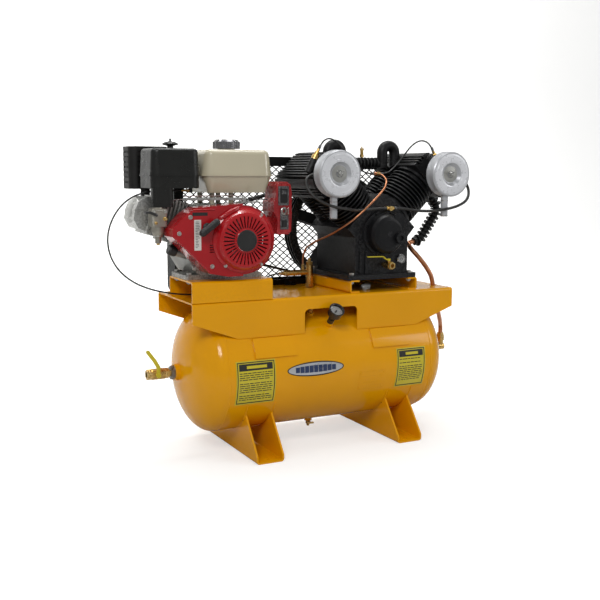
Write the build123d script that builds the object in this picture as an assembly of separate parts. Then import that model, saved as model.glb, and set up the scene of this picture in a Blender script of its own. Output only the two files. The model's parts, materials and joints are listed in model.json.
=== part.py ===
from build123d import *
from math import cos, pi, radians, sin, sqrt
import os

# Twin stack compressor: a petrol engine drives a V pump with two filter stacks, both standing on a
# platform over a horizontal air receiver.
# Frame: X to the right along the receiver, Y to the back, Z up. The origin is on the floor under the
# middle of the receiver. All sizes are in millimetres.

# Receiver and feet
TANK_RADIUS = 203.2
TANK_HALF = 375.0
HEAD_DEPTH = 102.0
TANK_WALL = 4.5
TANK_Z = 264.5
TANK_END = TANK_HALF + HEAD_DEPTH
FOOT_X = 260.5
FOOT_WIDTH = 95.0
FOOT_HALF = 249.0
FOOT_SHEET = 6.0
FOOT_HOLE_Y = 222.0
FOOT_HOLE_RADIUS = 6.5
SEAT_GAP = 0.3

# Platform and risers
PLATFORM_TOP = 508.0
PLATFORM_HALF = 484.0
PLATFORM_DEPTH = 164.0
SHEET = 5.0
BEND = 10.0
SKIRT_LOW = 388.0
SKIRT_END = 443.0
SKIRT_TAPER_X = 333.0
NOTCH_HALF = 98.5
NOTCH_TOP = 467.0
ENGINE_RISER = ((-484.0, -164.0), (-214.0, 45.0))
ENGINE_SEAT = 574.0
PUMP_RISER_X = (78.0, 343.0)
PUMP_RISER_DEPTH = 150.0
PUMP_SEAT = 550.0
RISER_FLANGE = 36.0

# Engine: the crankshaft lies along Y
ENGINE_X = -322.0
ENGINE_Z = 699.0
ENGINE_TILT = 17.0
CASE_FRONT = -100.0
CASE_BACK = 85.0
CYLINDER_FOOT = 118.0
CYLINDER_TOP = 262.0
CYLINDER_Y = (-75.0, 55.0)
ENGINE_THROW = 32.0
SHAFT_END = 206.0
DRIVE_RADIUS = 60.0

# Pump: the crankshaft lies along Y and the two banks lean 45 degrees each way
PUMP_X = 207.5
PUMP_Z = 704.0
PUMP_FRONT = -135.0
PUMP_BACK = 135.0
DECK = 105.0
BARREL_TOP = 245.0
HEAD_TOP = 325.0
HEAD_Y = (-148.0, 140.0)
LOW_STAGE_Y = -68.0
HIGH_STAGE_Y = 78.0
FLYWHEEL_RADIUS = 200.0
PUMP_THROW = 36.0
FILTER_REACH = 214.5
FILTER_RISE = 198.0
FILTER_Y = (-229.0, -185.0)
INTERCOOLER_Y = 5.0
INTERCOOLER_Z = 938.0

# Belts and guard
WHEEL_Y = (168.0, 210.0)
BELT_Y = (179.0, 199.0)
BELT_WIDTH = 13.0
BELT_DEPTH = 9.0
GUARD_X = (-428.0, 440.0)
GUARD_Y = (150.0, 232.0)
GUARD_Z = (496.0, 960.0)
GUARD_SHEET = 2.5

RUNNING_GAP = 0.05
FIT_GAP = 0.15
ROOT_HALF = sqrt(0.5)
UP = (0, 0, 1)
LEFT = (-1, 0, 0)
RIGHT = (1, 0, 0)
FRONT = (0, -1, 0)
BACK = (0, 1, 0)


# Shared shapes

def rod(start, direction, radius, length):
    """A round bar from start along direction."""
    bar = Cylinder(radius, length, align=(Align.CENTER, Align.CENTER, Align.MIN))
    return Plane(origin=start, z_dir=direction) * bar


def hexagon(start, direction, flats, height):
    """A hexagonal bar from start along direction, flats across its flats."""
    bar = extrude(RegularPolygon(flats / 2, 6, major_radius=False), height)
    return Plane(origin=start, z_dir=direction) * bar


def turned(start, direction, outline):
    """A turned piece: outline holds (radius, distance along direction) points."""
    face = make_face(Polyline(*[(radius, 0, height) for radius, height in outline], close=True))
    return Plane(origin=start, z_dir=direction) * revolve(face, Axis.Z)


def block(low, high):
    """A box from its lowest to its highest corner."""
    size = [b - a for a, b in zip(low, high)]
    centre = [(a + b) / 2 for a, b in zip(low, high)]
    return Pos(*centre) * Box(*size)


def soft_block(low, high, radius, axis=Axis.Z):
    """A box with its edges along one axis rounded."""
    solid = block(low, high)
    return fillet(solid.edges().filter_by(axis), radius)


def prism_y(outline, low, high):
    """An outline of (x, z) points, extruded from y = low to y = high."""
    face = make_face(Polyline(*[(x, low, z) for x, z in outline], close=True))
    return extrude(face, amount=high - low, dir=BACK)


def prism_x(outline, low, high):
    """An outline of (y, z) points, extruded from x = low to x = high."""
    face = make_face(Polyline(*[(low, y, z) for y, z in outline], close=True))
    return extrude(face, amount=high - low, dir=RIGHT)


def tube_along(points, radius, bends):
    """A round tube along straight runs joined by arcs; bends is one radius or one for each corner."""
    path = FilletPolyline(*points, radius=bends)
    start = path @ 0
    section = Plane(origin=start, z_dir=path % 0) * Circle(radius)
    tube = sweep(section, path=path)
    ratio = tube.volume / (pi * radius ** 2 * path.length)
    print(f"tube length {path.length:.1f} mm, volume over section times length {ratio:.4f}")
    return tube


def soft_bends(points):
    """Arc radii of a flexible line: 0.45 of the shorter run over the tangent of half the turn."""
    radii = []
    for before, corner, after in zip(points, points[1:], points[2:]):
        run_in = Vector(*corner) - Vector(*before)
        run_out = Vector(*after) - Vector(*corner)
        half_turn = radians(run_in.get_angle(run_out)) / 2
        radii.append(0.45 * min(run_in.length, run_out.length) * cos(half_turn) / sin(half_turn))
    print("bend radii", [round(radius) for radius in radii])
    return radii


def round_ended_bar(radius, length):
    """A round-ended bar centred on the origin along Z."""
    reach = length / 2 - radius
    middle = Cylinder(radius, 2 * reach)
    return joined([middle, Pos(0, 0, reach) * Sphere(radius), Pos(0, 0, -reach) * Sphere(radius)])


def joined(pieces):
    """One solid from touching or overlapping pieces."""
    first, *rest = pieces
    return first.fuse(*rest).clean() if rest else first


def group(pieces):
    """Separate solids kept together under one name."""
    return Compound(children=[solid for piece in pieces for solid in piece.solids()])


def ring_of(count, centre, make, offset=0.0):
    """Make a piece at each of count even turns about a Y axis through centre (x, z)."""
    pieces = []
    for index in range(count):
        turn = 2 * pi * index / count + offset
        pieces.append(make(centre, turn))
    return pieces


def bank_point(side, radial, lateral):
    """The (x, z) point at a distance along a pump bank and a distance outboard of its axis."""
    x = PUMP_X + side * ROOT_HALF * (radial + lateral)
    z = PUMP_Z + ROOT_HALF * (radial - lateral)
    return x, z


def bank_outline(side, corners):
    return [bank_point(side, radial, lateral) for radial, lateral in corners]


def engine_point(radial, across):
    """The (x, z) point along the engine's cylinder axis and across it, upwards."""
    c = cos(radians(ENGINE_TILT))
    s = sin(radians(ENGINE_TILT))
    return ENGINE_X - radial * c + across * s, ENGINE_Z + radial * s + across * c


def engine_outline(corners):
    return [engine_point(radial, across) for radial, across in corners]


# Receiver, feet and platform

def vessel(radius, depth):
    """A solid cylinder along X with elliptical ends."""
    right = EllipticalCenterArc((TANK_HALF, 0), depth, radius, start_angle=0, arc_size=90)
    roof = Line((TANK_HALF, radius), (-TANK_HALF, radius))
    left = EllipticalCenterArc((-TANK_HALF, 0), depth, radius, start_angle=90, arc_size=90)
    floor = Line((-TANK_HALF - depth, 0), (TANK_HALF + depth, 0))
    return Pos(0, 0, TANK_Z) * revolve(make_face([right, roof, left, floor]), Axis.X)


def tank_point(x, angle, radius=TANK_RADIUS):
    """A point around the receiver; the angle is measured from the front, upwards."""
    turn = radians(angle)
    return x, -radius * cos(turn), TANK_Z + radius * sin(turn)


def radial_way(angle):
    turn = radians(angle)
    return 0, -cos(turn), sin(turn)


PORT_DEPTH = 10.0
GAUGE_ANGLE = 45.0
SAFETY_ANGLE = 60.0
SAFETY_X = -48.0
PILOT_XY = (32.0, 57.0)
PILOT_PORT_TOP = 474.0
PORTS = [
    # start, direction, collar radius, collar length, bore radius
    ((-TANK_END + 14, 0, TANK_Z), LEFT, 27.0, 27.0, 16.8),
    ((TANK_END - 14, 0, TANK_Z), RIGHT, 22.0, 27.0, 12.8),
    (tank_point(0, GAUGE_ANGLE, TANK_RADIUS - 6), radial_way(GAUGE_ANGLE), 13.0, 20.0, 6.8),
    (tank_point(SAFETY_X, SAFETY_ANGLE, TANK_RADIUS - 6), radial_way(SAFETY_ANGLE), 13.0, 16.0, 6.8),
    ((*PILOT_XY, PILOT_PORT_TOP - 22), UP, 17.0, 22.0, 9.2),
    ((0, 0, TANK_Z - TANK_RADIUS + 8), (0, 0, -1), 13.0, 22.0, 6.8),
]
PAD_X = ((-287.0, -143.0), (143.0, 287.0))
PAD_Z = (327.0, 386.0)
PAD_SHEET = 5.0


def curved_plate(x_range, z_range, front, inner, thickness):
    """A plate that follows the receiver's wall, on its front or its back."""
    length = x_range[1] - x_range[0]
    sleeve = rod((x_range[0], 0, TANK_Z), RIGHT, inner + thickness, length)
    sleeve -= rod((x_range[0], 0, TANK_Z), RIGHT, inner, length)
    reach = inner + thickness + 5
    y_range = (-reach, -60.0) if front else (60.0, reach)
    return sleeve & block((x_range[0], y_range[0], z_range[0]), (x_range[1], y_range[1], z_range[1]))


def receiver_tank():
    shell = vessel(TANK_RADIUS, HEAD_DEPTH)
    pads = [curved_plate(span, PAD_Z, front, TANK_RADIUS - 1, PAD_SHEET + 1)
            for span in PAD_X for front in (True, False)]
    collars = [rod(start, way, outer, length) for start, way, outer, length, bore in PORTS]
    body = joined([shell, *pads, *collars])
    body -= vessel(TANK_RADIUS - TANK_WALL, HEAD_DEPTH - TANK_WALL)
    for start, way, outer, length, bore in PORTS:
        inside = [a - 2 * PORT_DEPTH * b for a, b in zip(start, way)]
        body -= rod(inside, way, bore, length + 4 * PORT_DEPTH)
    return body


def foot(x):
    """An open channel along Y with a cradle cut to the receiver."""
    half = FOOT_WIDTH / 2
    cradle_y = 150.0
    cradle_z = 150.0
    channel = soft_block((x - half, -FOOT_HALF, 0), (x + half, FOOT_HALF, cradle_z + 30), BEND, Axis.Y)
    hollow = soft_block((x - half + FOOT_SHEET, -FOOT_HALF, FOOT_SHEET),
                        (x + half - FOOT_SHEET, FOOT_HALF, cradle_z + 60), BEND - FOOT_SHEET, Axis.Y)
    side = [(-FOOT_HALF, 0), (FOOT_HALF, 0), (FOOT_HALF, 23), (cradle_y, cradle_z),
            (-cradle_y, cradle_z), (-FOOT_HALF, 23)]
    sheet = (channel - hollow) & prism_x(side, x - half, x + half)
    sheet -= rod((x - half - 1, 0, TANK_Z), RIGHT, TANK_RADIUS + SEAT_GAP, FOOT_WIDTH + 2)
    for y in (-FOOT_HOLE_Y, FOOT_HOLE_Y):
        sheet -= rod((x, y, -1), UP, FOOT_HOLE_RADIUS, FOOT_SHEET + 2)
    return sheet


def feet():
    return group([foot(-FOOT_X), foot(FOOT_X)])


DISCHARGE_HOLE = (461.0, -80.0)
PILOT_HOLE_RADIUS = 24.0
DISCHARGE_HOLE_RADIUS = 13.0


def platform():
    skirt_base = 380.0
    outer = soft_block((-PLATFORM_HALF, -PLATFORM_DEPTH, skirt_base - 40),
                       (PLATFORM_HALF, PLATFORM_DEPTH, PLATFORM_TOP), BEND, Axis.X)
    inner = soft_block((-PLATFORM_HALF, -PLATFORM_DEPTH + SHEET, skirt_base - 60),
                       (PLATFORM_HALF, PLATFORM_DEPTH - SHEET, PLATFORM_TOP - SHEET), BEND - SHEET, Axis.X)
    front = [(-PLATFORM_HALF, PLATFORM_TOP), (PLATFORM_HALF, PLATFORM_TOP), (PLATFORM_HALF, SKIRT_END),
             (SKIRT_TAPER_X, SKIRT_LOW), (-SKIRT_TAPER_X, SKIRT_LOW), (-PLATFORM_HALF, SKIRT_END)]
    sheet = (outer - inner) & prism_y(front, -PLATFORM_DEPTH, PLATFORM_DEPTH)
    notch = soft_block((-NOTCH_HALF, -PLATFORM_DEPTH - 1, SKIRT_LOW - 40),
                       (NOTCH_HALF, -PLATFORM_DEPTH + SHEET + 1, NOTCH_TOP), 16.0, Axis.Y)
    sheet -= notch
    sheet -= rod((-TANK_END, 0, TANK_Z), RIGHT, TANK_RADIUS + SEAT_GAP, 2 * TANK_END)
    sheet -= rod((*PILOT_XY, PLATFORM_TOP - 20), UP, PILOT_HOLE_RADIUS, 40)
    sheet -= rod((*DISCHARGE_HOLE, PLATFORM_TOP - 20), UP, DISCHARGE_HOLE_RADIUS, 40)
    return sheet


ENGINE_BOLTS = [(x, y) for x in (-464.0, -238.0) for y in (-84.0, 26.0)]
PUMP_BOLTS = [(x, y) for x in (94.0, 321.0) for y in (-130.0, 130.0)]
BOLT_RADIUS = 5.0
BOLT_HOLE_RADIUS = 5.5


def engine_riser():
    (left, front), (right, back) = ENGINE_RISER
    outer = soft_block((left, front, PLATFORM_TOP - 20), (right, back, ENGINE_SEAT), BEND, Axis.X)
    inner = soft_block((left, front + SHEET, PLATFORM_TOP - 40),
                       (right, back - SHEET, ENGINE_SEAT - SHEET), BEND - SHEET, Axis.X)
    sheet = (outer - inner) & block((left, front, PLATFORM_TOP), (right, back, ENGINE_SEAT))
    for x, y in ENGINE_BOLTS:
        sheet -= rod((x, y, ENGINE_SEAT - 10), UP, BOLT_HOLE_RADIUS, 20)
    return sheet


def pump_riser(x, inward):
    """A channel along Y: an upright web with a flange at its top and its bottom, both turned inward."""
    low_x, high_x = sorted((x, x + inward * RISER_FLANGE))
    outer = block((low_x, -PUMP_RISER_DEPTH, PLATFORM_TOP), (high_x, PUMP_RISER_DEPTH, PUMP_SEAT))
    web_edges = outer.edges().filter_by(Axis.Y).sort_by(Axis.X)
    near_web = web_edges[:2] if inward > 0 else web_edges[-2:]
    outer = fillet(near_web, BEND - 2)
    low_in, high_in = sorted((x + inward * SHEET, x + inward * (RISER_FLANGE + 5)))
    inner = block((low_in, -PUMP_RISER_DEPTH, PLATFORM_TOP + SHEET),
                  (high_in, PUMP_RISER_DEPTH, PUMP_SEAT - SHEET))
    channel = outer - inner
    for bolt_x, bolt_y in PUMP_BOLTS:
        channel -= rod((bolt_x, bolt_y, PUMP_SEAT - 10), UP, BOLT_HOLE_RADIUS, 20)
    return channel


def pump_risers():
    left, right = PUMP_RISER_X
    return group([pump_riser(left, 1), pump_riser(right, -1)])


ENGINE_FLANGE = 14.0
PUMP_FLANGE = 16.0
BOLT_HEAD = 7.0


def hold_down_bolt(x, y, seat, flange):
    """A bolt down through a flange and a riser, with a nut under the riser's sheet."""
    top = seat + flange
    shank = flange + SHEET + 10
    head = hexagon((x, y, top), UP, 16, BOLT_HEAD)
    stem = rod((x, y, top - shank), UP, BOLT_RADIUS, shank)
    nut = hexagon((x, y, seat - SHEET - 7), UP, 16, 7)
    return joined([head, stem, nut])


def mounting_bolts():
    engine = [hold_down_bolt(x, y, ENGINE_SEAT, ENGINE_FLANGE) for x, y in ENGINE_BOLTS]
    pump = [hold_down_bolt(x, y, PUMP_SEAT, PUMP_FLANGE) for x, y in PUMP_BOLTS]
    return group(engine + pump)


# Receiver fittings

LEFT_PORT_FACE = -TANK_END - 13
RIGHT_PORT_FACE = TANK_END + 13
OUTLET_BORE = 9.5
OUTLET_END = -581.0
OUTLET_THREAD = 25.0
OUTLET_STEM_X = -549.0
OUTLET_STEM_Y = -17.0
LEVER_SHEET = 3.0


def outlet_bushing():
    """A reducing bushing: its thread fills the port and its hexagon meets the collar."""
    hexa = hexagon((LEFT_PORT_FACE, 0, TANK_Z), LEFT, 40, 12)
    thread = rod((LEFT_PORT_FACE + 22, 0, TANK_Z), LEFT, 16.8 - FIT_GAP, 22)
    bore = rod((LEFT_PORT_FACE + 30, 0, TANK_Z), LEFT, OUTLET_BORE + 2, 50)
    return joined([hexa, thread]) - bore


def outlet_valve_body():
    """A ball valve with a short nipple towards the receiver and a female thread at its open end."""
    start = LEFT_PORT_FACE - 12
    nipple = rod((start + 14, 0, TANK_Z), LEFT, OUTLET_BORE + 2 - FIT_GAP, 24)
    near_hex = hexagon((start - 6, 0, TANK_Z), LEFT, 30, 16)
    ball = rod((start - 20, 0, TANK_Z), LEFT, 18, 42)
    far_hex = hexagon((OUTLET_END + 20, 0, TANK_Z), LEFT, 30, 20)
    neck = rod((OUTLET_STEM_X, 0, TANK_Z), FRONT, 8, -OUTLET_STEM_Y + 3)
    body = joined([nipple, near_hex, ball, far_hex, neck])
    body -= rod((OUTLET_END - 1, 0, TANK_Z), RIGHT, OUTLET_BORE, OUTLET_THREAD + 1)
    return body - rod((OUTLET_END, 0, TANK_Z), RIGHT, 7, 120)


def swept_lever(points, width, normal, thickness):
    """A flat lever: a strip of even thickness whose middle line runs through the points."""
    strip = []
    for a, b in zip(points, points[1:]):
        along = Vector(*b) - Vector(*a)
        place = Plane(origin=a, x_dir=normal, z_dir=along)
        piece = Box(thickness, width, along.length, align=(Align.CENTER, Align.CENTER, Align.MIN))
        strip.append(place * piece)
        strip.append(rod([p - q * thickness / 2 for p, q in zip(b, normal)], normal, width / 2, thickness))
    start = [p - q * thickness / 2 for p, q in zip(points[0], normal)]
    strip.append(rod(start, normal, width / 2, thickness))
    return joined(strip)


def outlet_valve_lever():
    """The lever stands up when the valve is shut and swings down to the left."""
    y = OUTLET_STEM_Y - 8
    hub = rod((OUTLET_STEM_X, OUTLET_STEM_Y - 3 - RUNNING_GAP, TANK_Z), FRONT, 7.5, 9)
    arm = [(OUTLET_STEM_X, y, TANK_Z), (OUTLET_STEM_X, y, TANK_Z + 26),
           (OUTLET_STEM_X - 12, y, TANK_Z + 48), (OUTLET_STEM_X - 34, y, TANK_Z + 78)]
    return joined([hub, swept_lever(arm, 12, FRONT, LEVER_SHEET)])


DRAIN_TOP = TANK_Z - TANK_RADIUS - 14


def drain_cock_body():
    """A small drain cock under the receiver, with its outlet pointing down."""
    start = (0, 0, DRAIN_TOP)
    thread = rod((0, 0, DRAIN_TOP + 12), (0, 0, -1), 6.8 - FIT_GAP, 12)
    barrel = hexagon(start, (0, 0, -1), 16, 12)
    spout = rod((0, 0, DRAIN_TOP - 12), (0, 0, -1), 5, 8)
    seat = rod((0, -6, DRAIN_TOP - 6), FRONT, 4.5, 7)
    body = joined([thread, barrel, spout, seat])
    return body - rod((0, 0, DRAIN_TOP + 20), (0, 0, -1), 2.5, 50)


def drain_cock_key():
    """A T key on the drain cock's front."""
    y = -13 - RUNNING_GAP
    spindle = rod((0, y, DRAIN_TOP - 6), FRONT, 3.5, 6)
    wings = soft_block((-12, y - 9, DRAIN_TOP - 9), (12, y - 5, DRAIN_TOP - 3), 1.9, Axis.Y)
    return joined([spindle, wings])


GAUGE_WAY = radial_way(GAUGE_ANGLE)
GAUGE_COLLAR = TANK_RADIUS + 14
GAUGE_BACK = 256.0
GAUGE_FRONT = 284.0
GAUGE_RADIUS = 25.0


def pressure_gauge():
    """The gauge's screwed stem and its round cup with a rolled front rim."""
    thread = rod(tank_point(0, GAUGE_ANGLE, GAUGE_COLLAR - 12), GAUGE_WAY, 6.8 - FIT_GAP, 12)
    elbow = rod(tank_point(0, GAUGE_ANGLE, GAUGE_COLLAR), GAUGE_WAY, 11, 18)
    nut_foot = GAUGE_COLLAR + 18
    nut = hexagon(tank_point(0, GAUGE_ANGLE, nut_foot), GAUGE_WAY, 17, GAUGE_BACK - nut_foot)
    depth = GAUGE_FRONT - GAUGE_BACK
    outline = [(0, 0), (GAUGE_RADIUS - 4, 0), (GAUGE_RADIUS - 1, 3), (GAUGE_RADIUS - 1, depth - 5),
               (GAUGE_RADIUS + 1, depth - 4), (GAUGE_RADIUS + 1, depth), (GAUGE_RADIUS - 3, depth),
               (GAUGE_RADIUS - 3, depth - 14), (0, depth - 14)]
    case = turned(tank_point(0, GAUGE_ANGLE, GAUGE_BACK), GAUGE_WAY, outline)
    return joined([thread, elbow, nut, case])


NEEDLE_LENGTH = 15.0


def gauge_needle():
    """The needle rests at zero, at the lower left of the dial."""
    base = tank_point(0, GAUGE_ANGLE, GAUGE_FRONT - 14)
    hub = rod([p + RUNNING_GAP * q for p, q in zip(base, GAUGE_WAY)], GAUGE_WAY, 2.6, 6)
    plate = Plane(origin=tank_point(0, GAUGE_ANGLE, GAUGE_FRONT - 10), x_dir=RIGHT, z_dir=GAUGE_WAY)
    blade = extrude(make_face(Polyline((0, 1.2), (NEEDLE_LENGTH, 0.4), (NEEDLE_LENGTH, -0.4), (0, -1.2),
                                       (-5, -1.2), (-5, 1.2), close=True)), 0.8)
    return joined([hub, plate * Rot(0, 0, 225) * blade])


SAFETY_WAY = radial_way(SAFETY_ANGLE)
SAFETY_BASE = TANK_RADIUS + 10


def safety_valve():
    """A spring safety valve with a hexagonal base and a slim bonnet."""
    thread = rod(tank_point(SAFETY_X, SAFETY_ANGLE, SAFETY_BASE - 10), SAFETY_WAY, 6.8 - FIT_GAP, 10)
    base = hexagon(tank_point(SAFETY_X, SAFETY_ANGLE, SAFETY_BASE), SAFETY_WAY, 18, 9)
    bonnet = rod(tank_point(SAFETY_X, SAFETY_ANGLE, SAFETY_BASE + 9), SAFETY_WAY, 7.5, 22)
    return joined([thread, base, bonnet])


def safety_valve_ring():
    """The pull ring on its stem above the bonnet."""
    foot_at = SAFETY_BASE + 31 + RUNNING_GAP
    stem = rod(tank_point(SAFETY_X, SAFETY_ANGLE, foot_at), SAFETY_WAY, 2.5, 5)
    centre = tank_point(SAFETY_X, SAFETY_ANGLE, foot_at + 9.5)
    loop = Plane(origin=centre, z_dir=RIGHT) * Torus(6.0, 1.4)
    return joined([stem, loop])


PILOT_BASE = PILOT_PORT_TOP
SIDE_TUBE_Z = 561.0
SIDE_TUBE_END = -66.0
PILOT_TAKE_OFF_X = 6.0
SIDE_TUBE_RADIUS = 10.0


def pilot_valve():
    """The unloader pilot: an upright brass body with a side cylinder that works the throttle cable."""
    x, y = PILOT_XY
    thread = rod((x, y, PILOT_BASE - 14), UP, 9.2 - FIT_GAP, 14)
    nipple = rod((x, y, PILOT_BASE), UP, 9, 40)
    hexa = hexagon((x, y, PILOT_BASE + 34), UP, 26, 14)
    body = rod((x, y, PILOT_BASE + 46), UP, 12.5, 66)
    bonnet = hexagon((x, y, PILOT_BASE + 112), UP, 22, 12)
    stem = rod((x, y, PILOT_BASE + 124), UP, 6, 12)
    side = rod((x, y, SIDE_TUBE_Z), LEFT, SIDE_TUBE_RADIUS, x - SIDE_TUBE_END - 8)
    side_end = hexagon((SIDE_TUBE_END + 18, y, SIDE_TUBE_Z), LEFT, 17, 18)
    take_off = rod((PILOT_TAKE_OFF_X, y, SIDE_TUBE_Z), UP, 5.5, SIDE_TUBE_RADIUS + 8)
    return joined([thread, nipple, hexa, body, bonnet, stem, side, side_end, take_off])


CHECK_X = 556.0
CHECK_TOP = 308.0


def check_valve():
    """A brass check valve on the right port, with a compression fitting on top for the copper tube."""
    thread = rod((RIGHT_PORT_FACE - 20, 0, TANK_Z), RIGHT, 12.8 - FIT_GAP, 20)
    hexa = hexagon((RIGHT_PORT_FACE, 0, TANK_Z), RIGHT, 30, 18)
    body = rod((RIGHT_PORT_FACE + 18, 0, TANK_Z), RIGHT, 12.5, CHECK_X - RIGHT_PORT_FACE - 6)
    riser = rod((CHECK_X, 0, TANK_Z), UP, 11.5, 26)
    nut = hexagon((CHECK_X, 0, TANK_Z + 24), UP, 27, CHECK_TOP - TANK_Z - 24)
    return joined([thread, hexa, body, riser, nut])


AFTERCOOLER_END = (428.0, 0.0, 660.8)
DISCHARGE_RADIUS = 8.0
AFTERCOOLER_TURN = (452.5, 0.0, 665.7)
DISCHARGE_ROUTE = [
    AFTERCOOLER_END, (403, 0, 655.8), (396, -26, 640), (414, -48, 612), (437, -64, 578), (454, -77, 543),
    (461, -80, 508), (465, -80, 462), (486, -78, 416), (520, -44, 376), (CHECK_X, 0, 344),
    (CHECK_X, 0, CHECK_TOP),
]


def discharge_tube():
    """The copper tube from the aftercooler, through the platform, to the check valve."""
    return tube_along(DISCHARGE_ROUTE, DISCHARGE_RADIUS, soft_bends(DISCHARGE_ROUTE))


TEE_Y = -95.0
TEE_Z = 903.0
PILOT_TUBE_RADIUS = 3.2
PILOT_ROUTE = [
    (PILOT_TAKE_OFF_X, 57, SIDE_TUBE_Z + 18), (PILOT_TAKE_OFF_X, 57, 612), (10, 46, 646), (16, -10, 672),
    (30, -96, 700), (64, -162, 742), (108, -183, 784), (160, -178, 826), (196, -170, 858), (213, -152, 882),
    (208, -128, 900), (PUMP_X, TEE_Y - 9, TEE_Z),
]


def pilot_tube():
    """The thin copper tube from the pilot valve up to the unloader tee between the banks."""
    tube = tube_along(PILOT_ROUTE, PILOT_TUBE_RADIUS, soft_bends(PILOT_ROUTE))
    stub = rod((PUMP_X, TEE_Y - 9, TEE_Z), BACK, 6, 9)
    tee = joined([stub, rod((PUMP_X - 12, TEE_Y, TEE_Z), RIGHT, 6, 24)])
    return group([tube, tee])


# Flexible lines

UNLOADER_FOOT = (456.0, -100.0, 936.0)
UNLOADER_WAY = (-0.45, 0.0, sqrt(1 - 0.45 ** 2))
UNLOADER_BOSS = 14.0
UNLOADER_LENGTH = 38.0
UNLOADER_HOSE_RADIUS = 2.6
UNLOADER_ROUTE = [
    (PUMP_X + 12, TEE_Y, TEE_Z), (248, TEE_Y, TEE_Z), (276, -91, 921), (304, -88, 946), (328, -88, 974),
    (352, -89, 1001), (382, -92, 1018), (409, -97, 1014),
]
HOSE_RADIUS = 4.75
NECK_BARB = 28.0
FILTER_X = PUMP_X + FILTER_REACH
FILTER_Z = PUMP_Z + FILTER_RISE
BREATHER_Y = -160.0
BREATHER_Z = 788.0
BREATHER_X = 222.0
BREATHER_RIGHT = [
    (BREATHER_X + 14, BREATHER_Y, BREATHER_Z), (268, BREATHER_Y, BREATHER_Z), (302, -167, 782),
    (336, -187, 778), (370, -214, 780),
    (412, -230, 787), (456, -228, 797), (494, -217, 812), (518, -200, 836), (522, -184, 864),
    (506, -173, 890), (479, -167, FILTER_Z), (FILTER_X + NECK_BARB, -167, FILTER_Z),
]
BREATHER_LEFT = [
    (BREATHER_X - 14, BREATHER_Y, BREATHER_Z), (176, BREATHER_Y, BREATHER_Z), (140, -161, 785),
    (104, -166, 783), (66, -182, 785),
    (26, -212, 791), (-18, -230, 796), (-62, -226, 808), (-98, -207, 834), (-110, -186, 868),
    (-98, -173, 892), (-67, -167, FILTER_Z), (-7 - NECK_BARB, -167, FILTER_Z),
]
CABLE_RADIUS = 2.6
CABLE_ROUTE = [
    (-448, -50, 849), (-496, -50, 849), (-545, -49, 848), (-592, -50, 845), (-643, -48, 825),
    (-683, -45, 784), (-707, -42, 727), (-706, -40, 668), (-682, -40, 614), (-636, -40, 571),
    (-576, -40, 543), (-510, -40, 527), (-444, -39, 519), (-378, -35, 516), (-312, -26, 518),
    (-248, -10, 525), (-190, 14, 537), (-142, 40, 552), (-104, 57, 561), (SIDE_TUBE_END, 57, SIDE_TUBE_Z),
]


def mirrored(points):
    """A route on the right bank, reflected to the left bank."""
    return [(2 * PUMP_X - x, y, z) for x, y, z in points]


def unloader_end():
    x, y, z = UNLOADER_FOOT
    reach = UNLOADER_BOSS + UNLOADER_LENGTH
    return x + reach * UNLOADER_WAY[0], y, z + reach * UNLOADER_WAY[2]


def pump_hoses():
    """The two thin unloader hoses and the two breather hoses."""
    x, y, z = unloader_end()
    above = (x + 15 * UNLOADER_WAY[0], y, z + 15 * UNLOADER_WAY[2])
    right = [*UNLOADER_ROUTE, above, (x, y, z)]
    hoses = [tube_along(route, UNLOADER_HOSE_RADIUS, soft_bends(route)) for route in (right, mirrored(right))]
    hoses += [tube_along(route, HOSE_RADIUS, soft_bends(route)) for route in (BREATHER_LEFT, BREATHER_RIGHT)]
    return group(hoses)


def throttle_cable():
    return tube_along(CABLE_ROUTE, CABLE_RADIUS, soft_bends(CABLE_ROUTE))


# Engine

ENGINE_CAVITY = 62.0
ENGINE_JOURNAL = 16.0
SHAFT_RADIUS = 12.7
ENGINE_BORE = 44.0
OIL_CAP_WAY = (-0.95, 0.0, sqrt(1 - 0.95 ** 2))
OIL_NECK = 42.0


def crank_rod(y, radius, length):
    return rod((ENGINE_X, y, ENGINE_Z), BACK, radius, length)


def engine_envelope():
    """The space that the cylinder takes beside the crankcase."""
    corners = [(CYLINDER_FOOT, -84), (CYLINDER_FOOT, 84), (400, 84), (400, -84)]
    return prism_y(engine_outline(corners), CYLINDER_Y[0] - 4, CYLINDER_Y[1] + 4)


def engine_crankcase():
    outline = [(-440, 588), (-256, 588), (-222, 640), (-222, 764), (-252, 800), (-300, 806),
               (-382, 806), (-432, 770), (-472, 704), (-472, 640)]
    body = prism_y(outline, CASE_FRONT, CASE_BACK)
    body = fillet(body.edges().filter_by(Axis.Y), 8)
    flange = soft_block((-480, -100, ENGINE_SEAT), (-222, 42, ENGINE_SEAT + ENGINE_FLANGE), 10)
    pto_face = crank_rod(CASE_BACK - 2, 48, 14)
    ribs = [block((x - 3, CASE_BACK - 4, 592), (x + 3, CASE_BACK + 6, 640)) for x in (-400, -350, -300, -260)]
    neck = rod((-462, -72, 648), OIL_CAP_WAY, 14, OIL_NECK)
    case = joined([body, flange, pto_face, *ribs, neck])
    case -= crank_rod(CASE_FRONT + 12, ENGINE_CAVITY, CASE_BACK - CASE_FRONT - 24)
    case -= crank_rod(CASE_FRONT - 5, ENGINE_JOURNAL + RUNNING_GAP, CASE_BACK - CASE_FRONT + 30)
    start = engine_point(20, 0)
    way = engine_point(1, 0)
    bore_way = (way[0] - ENGINE_X, 0, way[1] - ENGINE_Z)
    case -= rod((start[0], -10, start[1]), bore_way, ENGINE_BORE + 3, 140)
    case -= engine_envelope()
    for x, y in ENGINE_BOLTS:
        case -= rod((x, y, ENGINE_SEAT - 5), UP, BOLT_HOLE_RADIUS, 50)
    return case


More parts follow.
